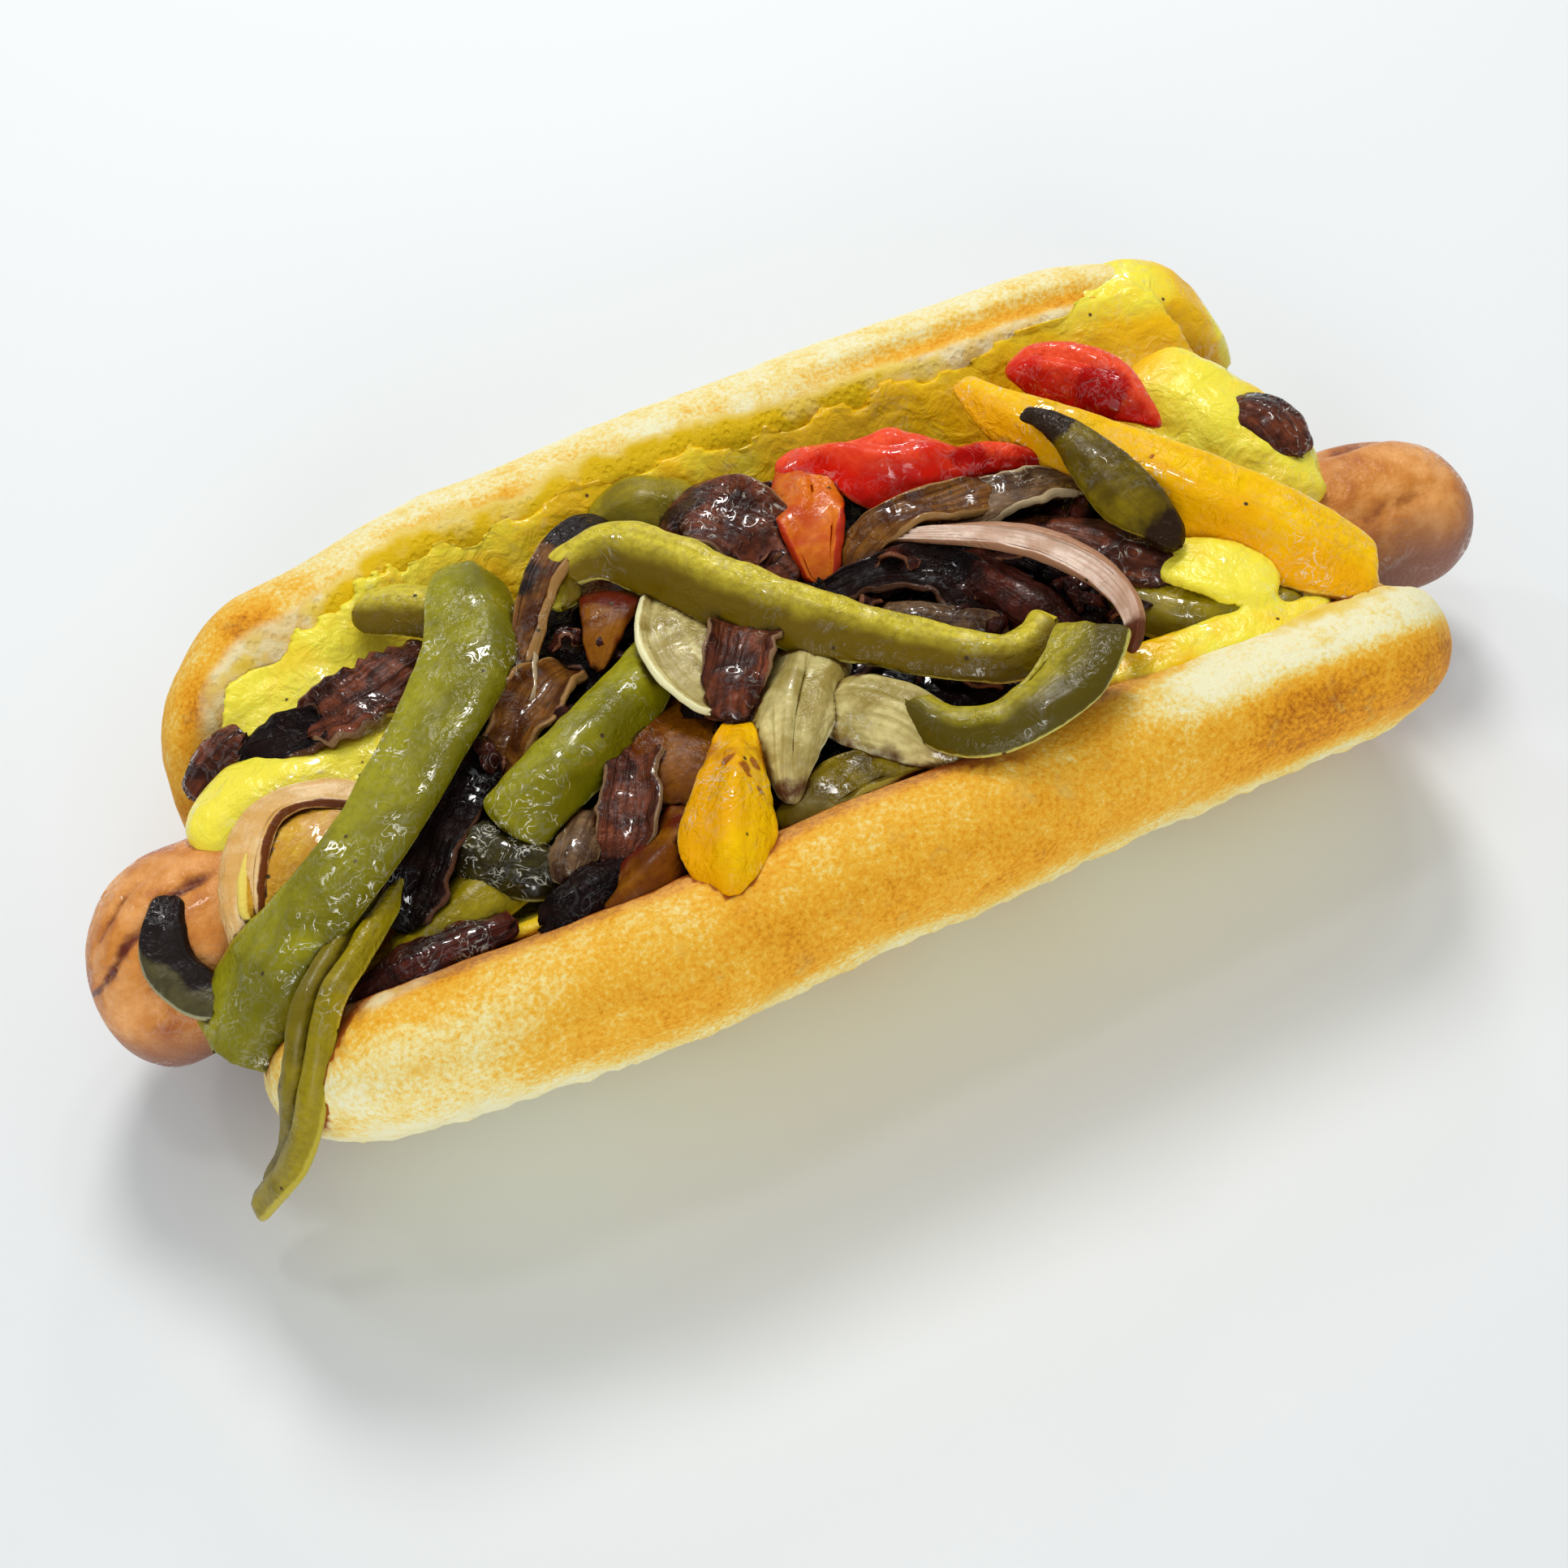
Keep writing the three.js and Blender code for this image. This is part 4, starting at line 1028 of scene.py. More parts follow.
PEAKED = ((-1, -0.5), (-0.3, -0.1), (0.15, 0.3), (0.5, -0.05), (1, -0.75))
SEAMED = ((-1, -0.6), (-0.45, -0.14), (0, 0.14), (0.12, 0.0), (0.65, 0.02), (1, -0.45))
TWIN = ((-1, -0.3), (-0.5, 0.34), (-0.06, -0.3), (0.45, 0.34), (1, -0.3))
RAISED_RIM = ((-1, -0.4), (-0.5, 0.0), (0.2, 0.06), (0.75, 0.06), (1, 0.32))

# How the ends of dark onion close, and two ways in which it has dried.
BLUNT = (0.8, 0.9)
WITHERED = {"ragged": 0.7, "ripple": 0.3, "crinkle": 0.2}
SHRUNKEN = {"ragged": 0.7, "dents": 0.8, "crinkle": 0.2}


def green_strips():
    strip("green_pepper_long", GREEN, 1.8, (LONG_TOP, LONG_MIDDLE, LONG_MIDDLE, LONG_END), (2.6, 0.7), [
        (-34.3, 19.5, 36.5, 8, -6), (-35.6, 13, 38.2, 10.5, -4), (-39.1, 3.1, 38.9, 10.7, 0),
        (-46.9, -7.3, 39.4, 9.5, 2), (-56.3, -17.2, 38.8, 8.9, 4), (-65.6, -23, 36.2, 10.2, 6),
        (-72.8, -25.2, 31.2, 14, 10), (-79.6, -27.2, 24.6, 16, 12),
    ], seed=2, slant=(0, -1), ragged=0.05, dents=0.14)
    strip("green_pepper_hook", HOOK_GREEN, 1.6, (HOOKED, HOOKED, HOOK_TOP, FLAT), (0.8, 0.8), [
        (5.2, -25, 39, 4, 0), (7.6, -30.6, 39.8, 4.6, 0), (12, -33, 40.6, 5.2, -8),
        (18, -32.6, 41.8, 7, -14), (23.6, -29.8, 42.4, 8.4, -16), (27.6, -25.8, 42.2, 9, -12),
    ], seed=4, slant=(1, 0), dents=0.2)
    strip("green_pepper_ridge", GREEN_SHADED, 1.8, (FLAT, RIDGE, RIDGE, RIDGE, RIDGE_END), (1.2, 0.9), [
        (-26, 8, 36, 5, 0), (-24.4, 11.6, 38.2, 5.6, 0), (-18.4, 11, 40.4, 6.6, 10),
        (-13.6, 5, 41.6, 7.2, 12), (-8.6, -2, 41.8, 7.4, 6), (-1.5, -9.6, 41.4, 6.8, 2),
        (6.4, -15.6, 40.2, 5.5, 0), (14, -21, 39.2, 5.2, 0), (19.5, -23, 38.8, 5.6, 0),
        (25, -20.5, 38.4, 6, 0),
    ], seed=5, slant=(0, 1.2), dents=0.2)
    strip("green_pepper_fold", GREEN, 1.7, (FLAT, FOLDED, FOLDED, ARCHED), (1.2, 1.2), [
        (-17, -2, 35.5, 6, 0), (-22, -7.6, 37.6, 7.4, 0), (-29.5, -13.6, 38.8, 8, -4),
        (-36.5, -18, 38.8, 8.4, -6), (-42.5, -20.5, 36, 9.4, -8),
    ], seed=6, ragged=0.2, dents=0.2)
    strip("green_pepper_tail", OLIVE_LIGHT, 1.6, (FLAT, TWIN, TWIN, TWIN), (2.0, 3.0), [
        (-48, -9, 33, 4.4, 0), (-55.5, -20, 33.8, 4.8, 0), (-62.2, -28, 35.2, 5.4, 5),
        (-67.5, -34.4, 35.8, 5.4, 10), (-71.5, -39, 30, 6.2, 10), (-75.4, -40.4, 19.5, 6.8, 10),
        (-80.6, -38.4, 9.5, 6.4, 10),
    ], seed=25, slant=(0, 1.5), ragged=0.12, dents=0.2)
    strip("olive_pepper_left", GREEN_SHADED, 1.8, (ARCHED,), (2.2, 1.0), [
        (-49, 20, 34.4, 5.6, 10), (-44, 16.8, 36.2, 6.4, 10), (-38, 13, 36, 6.4, 10),
    ], seed=26)


def bright_strips():
    strip("yellow_pepper_long", YELLOW, 1.9, (FLAT, RIBBED, RIBBED, RIBBED, FLAT), (1.6, 1.6), [
        (33.2, 23.4, 36, 3, 16), (34.6, 15.2, 38.2, 6.4, 10), (38.2, 7.7, 39.3, 8.8, 8),
        (43.6, -0.1, 39.6, 9.6, 6), (49, -7.6, 39.6, 10.4, 4), (54, -13.5, 38.6, 11.4, 2),
        (58.7, -19.6, 37, 12, 0), (62.4, -24.2, 35.2, 11, -4), (64.6, -26.8, 33.6, 8.4, -4),
    ], seed=3, slant=(0, -1.5), ragged=0.15,
       burns=((0.56, -0.8, 3, 0.45), (0.7, -0.9, 3.4, 0.42), (0.5, 0.5, 0.7, 0.8)))
    strip("yellow_pepper_tip", YELLOW, 1.5, (FLAT, PEAKED, PEAKED, PEAKED), (0.4, 0.6), [
        (-13.2, -18, 36.6, 3.4, 0), (-15.4, -22.8, 38.6, 6.4, 0), (-17.8, -27.8, 40, 9, 0),
        (-20.2, -32.6, 40.1, 10.6, 0), (-21.8, -36.4, 38.8, 10.2, 0), (-23, -39.4, 36, 7, 0),
    ], seed=14, slant=(0, 1.2), rims=(0.2, 0.35),
       burns=((0.25, 0, 5, 0.45), (0.4, 0.2, 0.8, 0.9), (0.48, 0.6, 0.7, 0.9), (0.36, -0.2, 0.6, 0.9),
              (0.33, 0.5, 0.7, 0.9), (0.44, 0.3, 0.6, 0.9), (1.0, 0.3, 1.6, 0.7)))
    strip("yellow_pepper_wedge", YELLOW_BROWNED, 1.3, (FLAT,), (0.4, 0.4), [
        (-18.8, 10.6, 35, 9, 0), (-20.6, 5.6, 37, 7.6, 0), (-22.8, 1.4, 37, 5, 0),
        (-25.2, -2.4, 35.4, 2, 0),
    ], seed=17, ragged=0.35, rims=(0.3, 0.2), burns=((0.2, 0, 4.6, 1.0),))
    strip("yellow_pepper_patch", YELLOW_BROWNED, 1.1, (FLAT,), (0.6, 0.6), [
        (-15.6, -8.6, 33.4, 7, 0), (-18.4, -14, 35, 10.6, 0), (-21.6, -19, 35.4, 11, 0),
        (-25, -23.4, 34, 8, 0),
    ], seed=30, ragged=0.4, dents=0.35, rims=(0.3, 0.3))
    strip("yellow_pepper_low", YELLOW_BROWNED, 1.6, (FLAT, PEAKED, PEAKED), (0.8, 0.8), [
        (-22, -25.6, 34.2, 5, 0), (-26.4, -30.4, 36, 7, 0), (-31, -33.4, 36.2, 6.6, 0),
        (-35.6, -35, 34, 4, 0),
    ], seed=31, ragged=0.3, rims=(0.8, 0.5), burns=((0.2, 0, 2.4, 0.5),))
    strip("red_pepper_crescent", RED, 1.2, (FLAT, DOUBLED, DOUBLED, CREASED, FLAT), (1.0, 1.4), [
        (39.4, 22.6, 36, 2, 6), (42.1, 20.4, 38, 7.6, 8), (45.4, 16.8, 39, 9.2, 6),
        (48.8, 12.8, 38.6, 7.6, 6), (51.2, 9.4, 37, 5, 6), (53, 6.4, 35, 1.4, 8),
    ], seed=7, ragged=0.2, dents=0.8, crinkle=0.14, burns=((0.62, -0.5, 4.6, 0.9),))
    strip("red_pepper_flag", RED, 1.2, (FLAT, PEAKED, DOUBLED, PEAKED, CREASED, FLAT), (1.0, 1.4), [
        (5.4, 17, 36.8, 3.4, 4), (8.8, 16.2, 38.6, 6, 4), (13.1, 14, 39.6, 8.8, 2),
        (17.2, 11.6, 40, 11, 2), (21.6, 10, 39.8, 9.2, 4), (25.7, 8.8, 38.8, 6, 6),
        (30.8, 8, 37.8, 3.6, 6), (36, 6, 36.8, 2.4, 8), (40, 4.2, 35.6, 1.4, 8),
    ], seed=8, ragged=0.2, dents=0.8, crinkle=0.14,
       burns=((0.64, -0.2, 4, 0.7), (0.85, 0, 5, 0.6), (0.3, -1, 3, 0.5)))
    tail = bmesh.new()
    band(tail, [
        (9.4, 17, 36.8, 7, 0), (7.4, 12.4, 38.4, 9, 0), (6, 7.4, 38.6, 8.6, 0), (4.8, 3, 37.4, 6, 0),
        (4, -1, 35.4, 3.4, 0),
    ], 1.3, (FLAT, SEAMED, DISHED, DISHED), (1.0, 1.2), seed=31, ragged=0.2, rims=(0.3, 0.6),
       burns=((0.1, 0, 5, 0.4),))
    show(tail, "red_pepper_flag_tail", RED_INSIDE)


def olive_strips():
    strip("olive_pepper_sliver", OLIVE, 1.8, (PINCHED, SLOPED, SLOPED, FLAT), (1.2, 2.0), [
        (35.2, 9.4, 41.6, 1.2, 0), (37.8, 4.6, 42.8, 2.8, 0), (39.4, -1.6, 43, 5.4, -8),
        (40.9, -7.8, 42.2, 6.8, -10), (42.6, -12.6, 40.2, 5.8, -10), (44, -15.6, 38, 4, -10),
    ], seed=1, burns=((0.02, 0, 5, 1.2), (0.18, 0, 3.4, 0.9), (0.97, 0, 6, 0.8)))
    strip("olive_pepper_back", OLIVE_LIGHT, 1.8, (ARCHED,), (2.0, 2.0), [
        (-18, 22, 33, 6, 10), (-12, 21.5, 35.8, 9, 10), (-5, 18.5, 34.6, 8, 10),
    ], seed=23, ragged=0.3)
    strip("olive_pepper_rim_left", OLIVE_LIGHT, 1.8, (ARCHED,), (2.0, 2.0), [
        (-41, -23, 32, 7, 0), (-49.5, -26.3, 33, 8.6, 0), (-58, -30, 31.5, 6, 0),
    ], seed=36)
    strip("olive_pepper_rim_mid", OLIVE, 1.3, (SLOPED, DISHED, ARCHED), (0.9, 0.9), [
        (6, -29.3, 34, 4, 0), (-1, -29.2, 35.2, 6, 0), (-8.3, -30.2, 35, 6.4, 0),
        (-13.5, -32, 33.6, 4.4, 0),
    ], seed=37, ragged=0.3, dents=0.4, rims=(0.2, 0.0))
    strip("olive_pepper_rim_right", OLIVE_LIGHT, 1.6, (SLOPED, ARCHED), (2.0, 2.0), [
        (36, -12.5, 32.5, 6, 0), (40.6, -20.4, 34.6, 7.4, 0), (47, -24.6, 34.8, 7.4, 0),
        (56, -25, 33, 5, 0),
    ], seed=38)
    membrane = bmesh.new()
    band(membrane, [
        (-47, -14.5, 33, 7, 0), (-45.4, -19.6, 35.2, 9, 0), (-41.6, -24, 35.6, 9, 0),
        (-36, -26, 33, 6, 0),
    ], 0.9, (SHELL,), (2.4, 2.4), seed=27, dents=0.5, ripple=0.25)
    show(membrane, "pepper_membrane_glassy", GLASSY_SKIN, "pepper_membrane")


def pale_strips():
    strip("onion_ring_pale", RING_ONION, 1.3, (FLAT, DISHED, FLAT), (5.0, 2.0), [
        (12, 2.4, 36.8, 1.2, 20), (19.6, -3.2, 39.4, 2.4, 24), (25.6, -8, 40.6, 3.2, 26),
        (30, -13.4, 41, 3.6, 30), (32.8, -19.4, 40.8, 3.4, 36), (33.2, -24.6, 40, 2.8, 44),
        (31.2, -28.2, 38.2, 2, 54),
    ], seed=9, ragged=0.1, dents=0.15, rims=(0.0, 0.1), burns=((0.95, 0, 4, 0.5), (1.0, 0, 4, 0.8)))
    strip("onion_petal_left", PALE_ONION, 1.2, (TILTED,), (2.0, 3.5), [
        (-12.8, 4, 36.6, 7, 0), (-15, -2.6, 38.3, 9.4, 4), (-15, -9.6, 38.6, 10.4, 6),
        (-12, -15.4, 37.2, 9.4, 6),
    ], seed=11, ragged=0.2)
    strip("onion_petal_fan", PALE_ONION, 1.1, (ARCHED, SEAMED, SEAMED, ARCHED), (1.2, 1.2), [
        (-0.4, -10.2, 37, 9.4, 0), (-5, -15.8, 38.9, 11, 0), (-8.4, -21.4, 38.9, 9.4, 0),
        (-10.4, -26, 37.6, 5.6, 0), (-11.6, -30, 35.2, 2, 0),
    ], seed=12, ragged=0.2, burns=((1.0, 0, 5, 0.6),))
    strip("onion_petal_right", PALE_ONION, 1.2, (ARCHED, SEAMED, SHELL), (1.0, 1.2), [
        (-4.4, -18, 35.8, 6, 0), (-0.8, -20.8, 38, 9.8, 0), (3.2, -24.4, 38.6, 10.8, 0),
        (6.8, -28.6, 37.9, 9, 0), (9.4, -32, 36.2, 5, 0),
    ], seed=13, ragged=0.2, rims=(0.62, 0.1), burns=((0.25, 0.9, 2.4, 0.9),))
    strip("onion_ring_brown", GLASSY_ONION, 1.4, (RAISED_RIM,), (1.5, 1.5), [
        (-53, -9, 33, 4.4, 10), (-59.4, -5.8, 34.4, 4.8, 6), (-66, -6, 35, 5.2, 4),
        (-70, -10.4, 34.4, 5.6, 4), (-72, -15.4, 32.4, 5.2, 6), (-73, -20.4, 29, 4, 0),
    ], seed=24, ragged=0.12)
    heart = bmesh.new()
    band(heart, [
        (-54, -10, 32.4, 6, 0), (-60.6, -9.6, 34, 8.4, 0), (-66, -13, 33.8, 9.6, 0),
        (-69.4, -19.6, 30.8, 7.6, 0),
    ], 1.4, (ARCHED, DISHED, GUTTER), (2, 2), seed=44, ragged=0.15)
    show(heart, "onion_ring_brown_heart", HEART_ONION)


def dark_strips():
    strip("onion_char_petal", PURPLE_ONION, 1.2, (SHELL, GUTTER, SHELL), BLUNT, [
        (-4.6, -3.4, 37.4, 7.4, 0), (-8.4, -8, 39.8, 9.4, 0), (-12.2, -14, 39.8, 8, 0),
        (-14.6, -17.8, 38, 5, 0),
    ], seed=10, ragged=0.7, dents=0.6, crinkle=0.2, ripple=0.2, wave=2.4)
    strip("onion_chunk_dark", PURPLE_ONION, 1.3, (SHELL, GUTTER, SHELL), BLUNT, [
        (-11, 15, 34, 8, 0), (-6.6, 14, 38, 12, 0), (-1.6, 8, 38.2, 12, 0), (2, 1, 35.5, 8, 0),
    ], seed=15, **SHRUNKEN)
    strip("onion_arc_left", BROWNED_ONION, 1.4, (FLAT, DISHED, DISHED), (1.5, 2.0), [
        (-16.2, 19.6, 35.4, 3.4, 0), (-20.2, 17.8, 37.6, 5.2, 4), (-24.9, 13.8, 38.7, 5.2, 8),
        (-28.9, 8.8, 38, 4.2, 8), (-32.7, 3, 36.6, 3.4, 6), (-35.4, -1.6, 34.8, 3, 4),
    ], seed=16, ragged=0.3, dents=0.4, burns=((0.14, 0, 6.5, 1.0), (0.5, -0.8, 3, 0.6)))
    strip("onion_petal_brown", BROWNED_ONION, 1.3, (ARCHED, GUTTER, ARCHED), (0.9, 1.0), [
        (33, 3.4, 36.4, 4, 0), (26.6, 2.2, 38, 5.8, 0), (20, 2.4, 38.4, 6.2, 0), (14, 2.6, 38.2, 6, 0),
        (9.5, 1.1, 37, 4.8, 0), (6.8, -1.2, 34.8, 3.4, 0),
    ], seed=18, ragged=0.35, dents=0.8, crinkle=0.2, ripple=0.25)
    strip("onion_strip_grey", GREY_ONION, 1.2, (ARCHED, GUTTER, ARCHED), BLUNT, [
        (43, 0.4, 35, 4, 4), (35, 0.6, 37.4, 6.4, 8), (28, 0.6, 38, 7.4, 8), (21, 1.4, 36.4, 5, 4),
    ], seed=19, ragged=0.7, crinkle=0.2, ripple=0.2)
    strip("onion_strip_purple", PURPLE_ONION, 1.2, (ARCHED, SHELL), BLUNT, [
        (28, -1, 35, 5, 0), (34, -7, 37, 7.4, 0), (39.6, -13.4, 37.2, 7.4, 0), (46, -17.4, 35.4, 5, 0),
    ], seed=20, **SHRUNKEN)
    strip("onion_strip_deep", DEEP_ONION, 1.2, (ARCHED, SHELL), BLUNT, [
        (19.6, -2.6, 34.8, 5, 0), (22.6, -9, 36.4, 8, 0), (25.6, -15.4, 36.4, 8.4, 0),
        (29.4, -21, 34, 5.6, 0),
    ], seed=21, **SHRUNKEN)
    strip("onion_strip_black", CHARRED_ONION, 1.2, (GUTTER, CUPPED), BLUNT, [
        (2.4, -2.4, 34.8, 4, 0), (9.6, -3.4, 36, 6, 0), (17, -6, 36.2, 7, 0), (20, -12, 34.8, 7, 0),
        (21, -18.4, 33, 5, 0),
    ], seed=22, **SHRUNKEN)
    strip("onion_scrap_brown", BROWNED_ONION, 1.2, (GUTTER, CUPPED), BLUNT, [
        (-28, 0, 34, 5, 0), (-31.6, -3, 36.2, 8, 0), (-36.4, -7, 36, 7, 0), (-41, -11.4, 33.4, 5, 0),
    ], seed=28, **WITHERED)
    strip("onion_strip_shadow", CHARRED_ONION, 1.2, (ARCHED, GUTTER), BLUNT, [
        (-37, -1, 33.4, 6, 0), (-44, -10, 35, 8.6, 0), (-50.5, -18.6, 35, 8.6, 0), (-56, -27, 32.8, 6, 0),
    ], seed=29, dents=0.6, **WITHERED)
    strip("onion_strip_left", PURPLE_ONION, 1.0, (GUTTER, DISHED), (0.6, 0.8), [
        (-23.6, -12.4, 34.4, 4.6, 0), (-26.4, -18.4, 36, 6.2, 0), (-29, -24.6, 35.8, 6.2, 0),
        (-32.2, -29.6, 34, 4, 0),
    ], seed=32, **WITHERED)
    strip("onion_scrap_pink", GREY_ONION, 1.2, (SHELL, ARCHED), BLUNT, [
        (-32.6, -21, 34.4, 3.6, 0), (-35.6, -25.6, 36.2, 5.4, 0), (-38.4, -29.4, 34.6, 3.6, 0),
    ], seed=33, **WITHERED)
    strip("onion_scrap_dark", CHARRED_ONION, 1.2, (SHELL, ARCHED), BLUNT, [
        (-30, -29.4, 33.6, 4, 0), (-36, -31.8, 36, 6.4, 0), (-42.5, -33.4, 34, 4.6, 0),
    ], seed=34, **WITHERED)
    strip("onion_scrap_rim", DEEP_ONION, 1.2, (ARCHED, SHELL), BLUNT, [
        (-45, -31, 33.4, 3.4, 0), (-53, -32, 34.6, 5, 0), (-59, -32.4, 34.2, 5, 0),
        (-64.5, -33, 31.6, 3.4, 0),
    ], seed=35, **WITHERED)
    strip("onion_char_curl", CURL_SKIN, 1.5, (CUPPED, RAISED_RIM, RAISED_RIM), (1.5, 1.5), [
        (-79.2, -9.6, 30.2, 3.6, 0), (-81.2, -13.4, 30.2, 4.6, -6), (-81.8, -17.6, 28.8, 5.4, -8),
        (-79.6, -21.4, 27.2, 5.4, -4), (-76.4, -23, 26.4, 4.4, 0),
    ], seed=39, ragged=0.15,
       burns=((0.05, 0, 6, 1.2), (0.35, 0.6, 4, 1.2), (0.7, 0.8, 3.6, 1.2), (1, 0.8, 3.4, 1.2)))
    strip("onion_char_low", PURPLE_ONION, 1.2, (ARCHED,), BLUNT, [
        (-74.4, 6.6, 26.5, 4.6, 10), (-70.4, 7.8, 30.4, 6.4, 10), (-66, 8.6, 32.2, 5, 10),
    ], seed=40, ragged=0.6, crinkle=0.2)
    strip("onion_char_mid", CHARRED_ONION, 1.2, (ARCHED, GUTTER), BLUNT, [
        (-67, 6.4, 31.5, 5.6, 10), (-62.4, 5, 33.6, 6.6, 10), (-56.4, 4.2, 34, 6, 10),
    ], seed=41, **WITHERED)
    strip("onion_char_high", PURPLE_ONION, 1.5, (GUTTER, ARCHED), (1.5, 1.5), [
        (-59.5, 5.4, 33.4, 6, 10), (-54, 5.4, 34.8, 8, 10), (-48, 7.4, 34.8, 7.4, 10),
        (-42, 11, 33.6, 5, 10),
    ], seed=42, ragged=0.7, ripple=0.5, wave=2.4)
    strip("onion_char_right", PURPLE_ONION, 1.2, (SHELL,), BLUNT, [
        (64, 8.4, 33, 5.6, 0), (66.6, 3.4, 35, 8.4, 0), (68, -3.2, 32.4, 6, 0),
    ], seed=43, burns=((0.3, 0.8, 4, 0.6),), **WITHERED)


def strips():
    green_strips()
    bright_strips()
    olive_strips()
    pale_strips()
    dark_strips()


# The dark heap under the strips

# Rows: x, middle y, half width, top z.
HEAP = [
    (-58, -13, 8, 31.5),
    (-46, -9, 15, 33.5),
    (-25, -6, 21, 34.5),
    (0, -4, 23, 35),
    (25, -5, 21, 34.5),
    (42, -8, 15, 33.5),
    (54, -12, 9, 31.5),
]
HEAP_MIDDLE = 5
HEAP_RISE = 4.6
HEAP_DEPTH = 6
HEAP_LUMPS = ((0.9, 4, 3), (0.4, 2, 5))
HEAP_GRID = (170, 90)
HEAP_SEED = 7
SHRED_COUNT = 150
SHRED_FALL = 4.2
SHRED_CURLS = (CUPPED, GUTTER, ARCHED, SHELL)


def heap_place(u, v):
    """A low lumpy mound, whose middle lies a little under the table's top."""
    x = station(u, HEAP[0][0], HEAP[-1][0])
    y, half, top = read_at(HEAP, x)
    close = math.sqrt(max(0, 1 - abs(2 * u - 1) ** 6))
    angle = 2 * math.pi * v
    side = math.cos(angle)
    rise = math.sin(angle)
    lift = HEAP_RISE * rise**0.7 if rise > 0 else HEAP_DEPTH * rise
    point = Vector((x, y + side * half * close, top - HEAP_MIDDLE + lift * close))
    point += UP * uneven(point, HEAP_LUMPS)
    return point, (x, math.cos(6 * v), 1), 0.1


def shreds(bm, draw, count, long, wide, lift):
    """Thin curled shreds strewn over the heap."""
    for shred in range(count):
        x = draw.uniform(HEAP[0][0] + 2, HEAP[-1][0] - 2)
        middle, half, top = read_at(HEAP, x)
        y = middle + draw.uniform(-0.94, 0.94) * half
        turn = draw.uniform(0, math.pi)
        length = draw.uniform(*long)
        bend = draw.uniform(-0.3, 0.3)
        width = draw.uniform(*wide)
        drop = SHRED_FALL * (abs(y - middle) / half) ** 2
        height = top - 0.4 - drop + draw.uniform(*lift)
        curl = draw.choice(SHRED_CURLS)
        route = []
        for k in range(5):
            t = k / 4 - 0.5
            sway = bend * length * (1 - 4 * t * t)
            route.append((
                x + math.cos(turn) * t * length - math.sin(turn) * sway,
                y + math.sin(turn) * t * length + math.cos(turn) * sway,
                height + draw.uniform(-0.7, 0.8) - 3 * t * t,
                width * (1 - 0.8 * t * t),
                draw.uniform(-35, 35),
            ))
        band(bm, route, draw.uniform(0.7, 1.2), (curl,), (1.2, 1.2), seed=shred * 0.37, rings=16, step=1.0,
             ragged=0.5, dents=0.7, ripple=0.4, wave=4, crinkle=0.16)


def heap():
    """A lumpy mass with shreds of onion lying on it: most are black, some brown and two pale."""
    draw = random.Random(HEAP_SEED)
    black = bmesh.new()
    lay_grid(black, *HEAP_GRID, heap_place)
    shreds(black, draw, SHRED_COUNT, long=(7, 16), wide=(2, 5), lift=(-0.8, 1.0))
    show(black, "onion_heap_black", CHARRED_ONION, "onion_heap")
    brown = bmesh.new()
    shreds(brown, draw, SHRED_COUNT // 3, long=(6, 13), wide=(2, 4.5), lift=(-0.2, 1.4))
    shreds(brown, draw, SHRED_COUNT // 2, long=(4, 9), wide=(1, 2.2), lift=(1.2, 3.4))
    show(brown, "onion_heap_brown", DEEP_ONION)
    pale = bmesh.new()
    band(pale, [
        (6.4, -6.4, 35, 3, 0), (11, -10.4, 36.6, 4, 0), (17, -14, 36.4, 4, 0), (22, -15.6, 34.6, 3, 0),
    ], 1.2, (SHELL, ARCHED), (1.5, 1.5), seed=51)
    band(pale, [
        (-29, 12, 35, 3, 0), (-32, 4, 36.4, 3.4, 0), (-35, -4.6, 36, 3, 0),
    ], 1.0, (CUPPED, GUTTER), (1.5, 1.5), seed=53)
    show(pale, "onion_heap_pale", GREY_ONION)


# The mustard

# Rows: x, top on the far face, top on the near face, pool by the far face, pool by the near face.
LINING = [
    (-71, 31, 15, 25, 12),
    (-65, 33.2, 24, 30, 15),
    (-56, 34.4, 31, 31.5, 22),
    (-46, 35.2, 32, 28, 27),
    (-30, 35.4, 32.5, 22, 24),
    (-10, 35.6, 32.5, 22, 24),
    (20, 35.2, 32.5, 22, 24),
    (42, 35.4, 33.0, 27, 29),
    (55, 37, 34.5, 32, 31),
    (64, 37, 34.0, 31, 30),
    (68.5, 31, 28, 25, 24),
]
COAT = 3.0
BEHIND = -0.2
CHANNEL_FLOOR = 6.6
CHANNEL_CORNER = 14.0
CHANNEL_HALF_WIDTH = 5
CHANNEL_MIDDLE = 22
LINING_GRID = (160, 96)
OVERRUN_GRID = (60, 60)
SAUCE_VOXEL = 0.62
SAUCE_ROUNDS = 8
FAR_EDGE = ((1.8, 7, 4), (0.9, 2.6, 9))
SAUCE_WAVES = ((0.55, 9, 2), (0.3, 4, 7), (0.1, 1.8, 3))

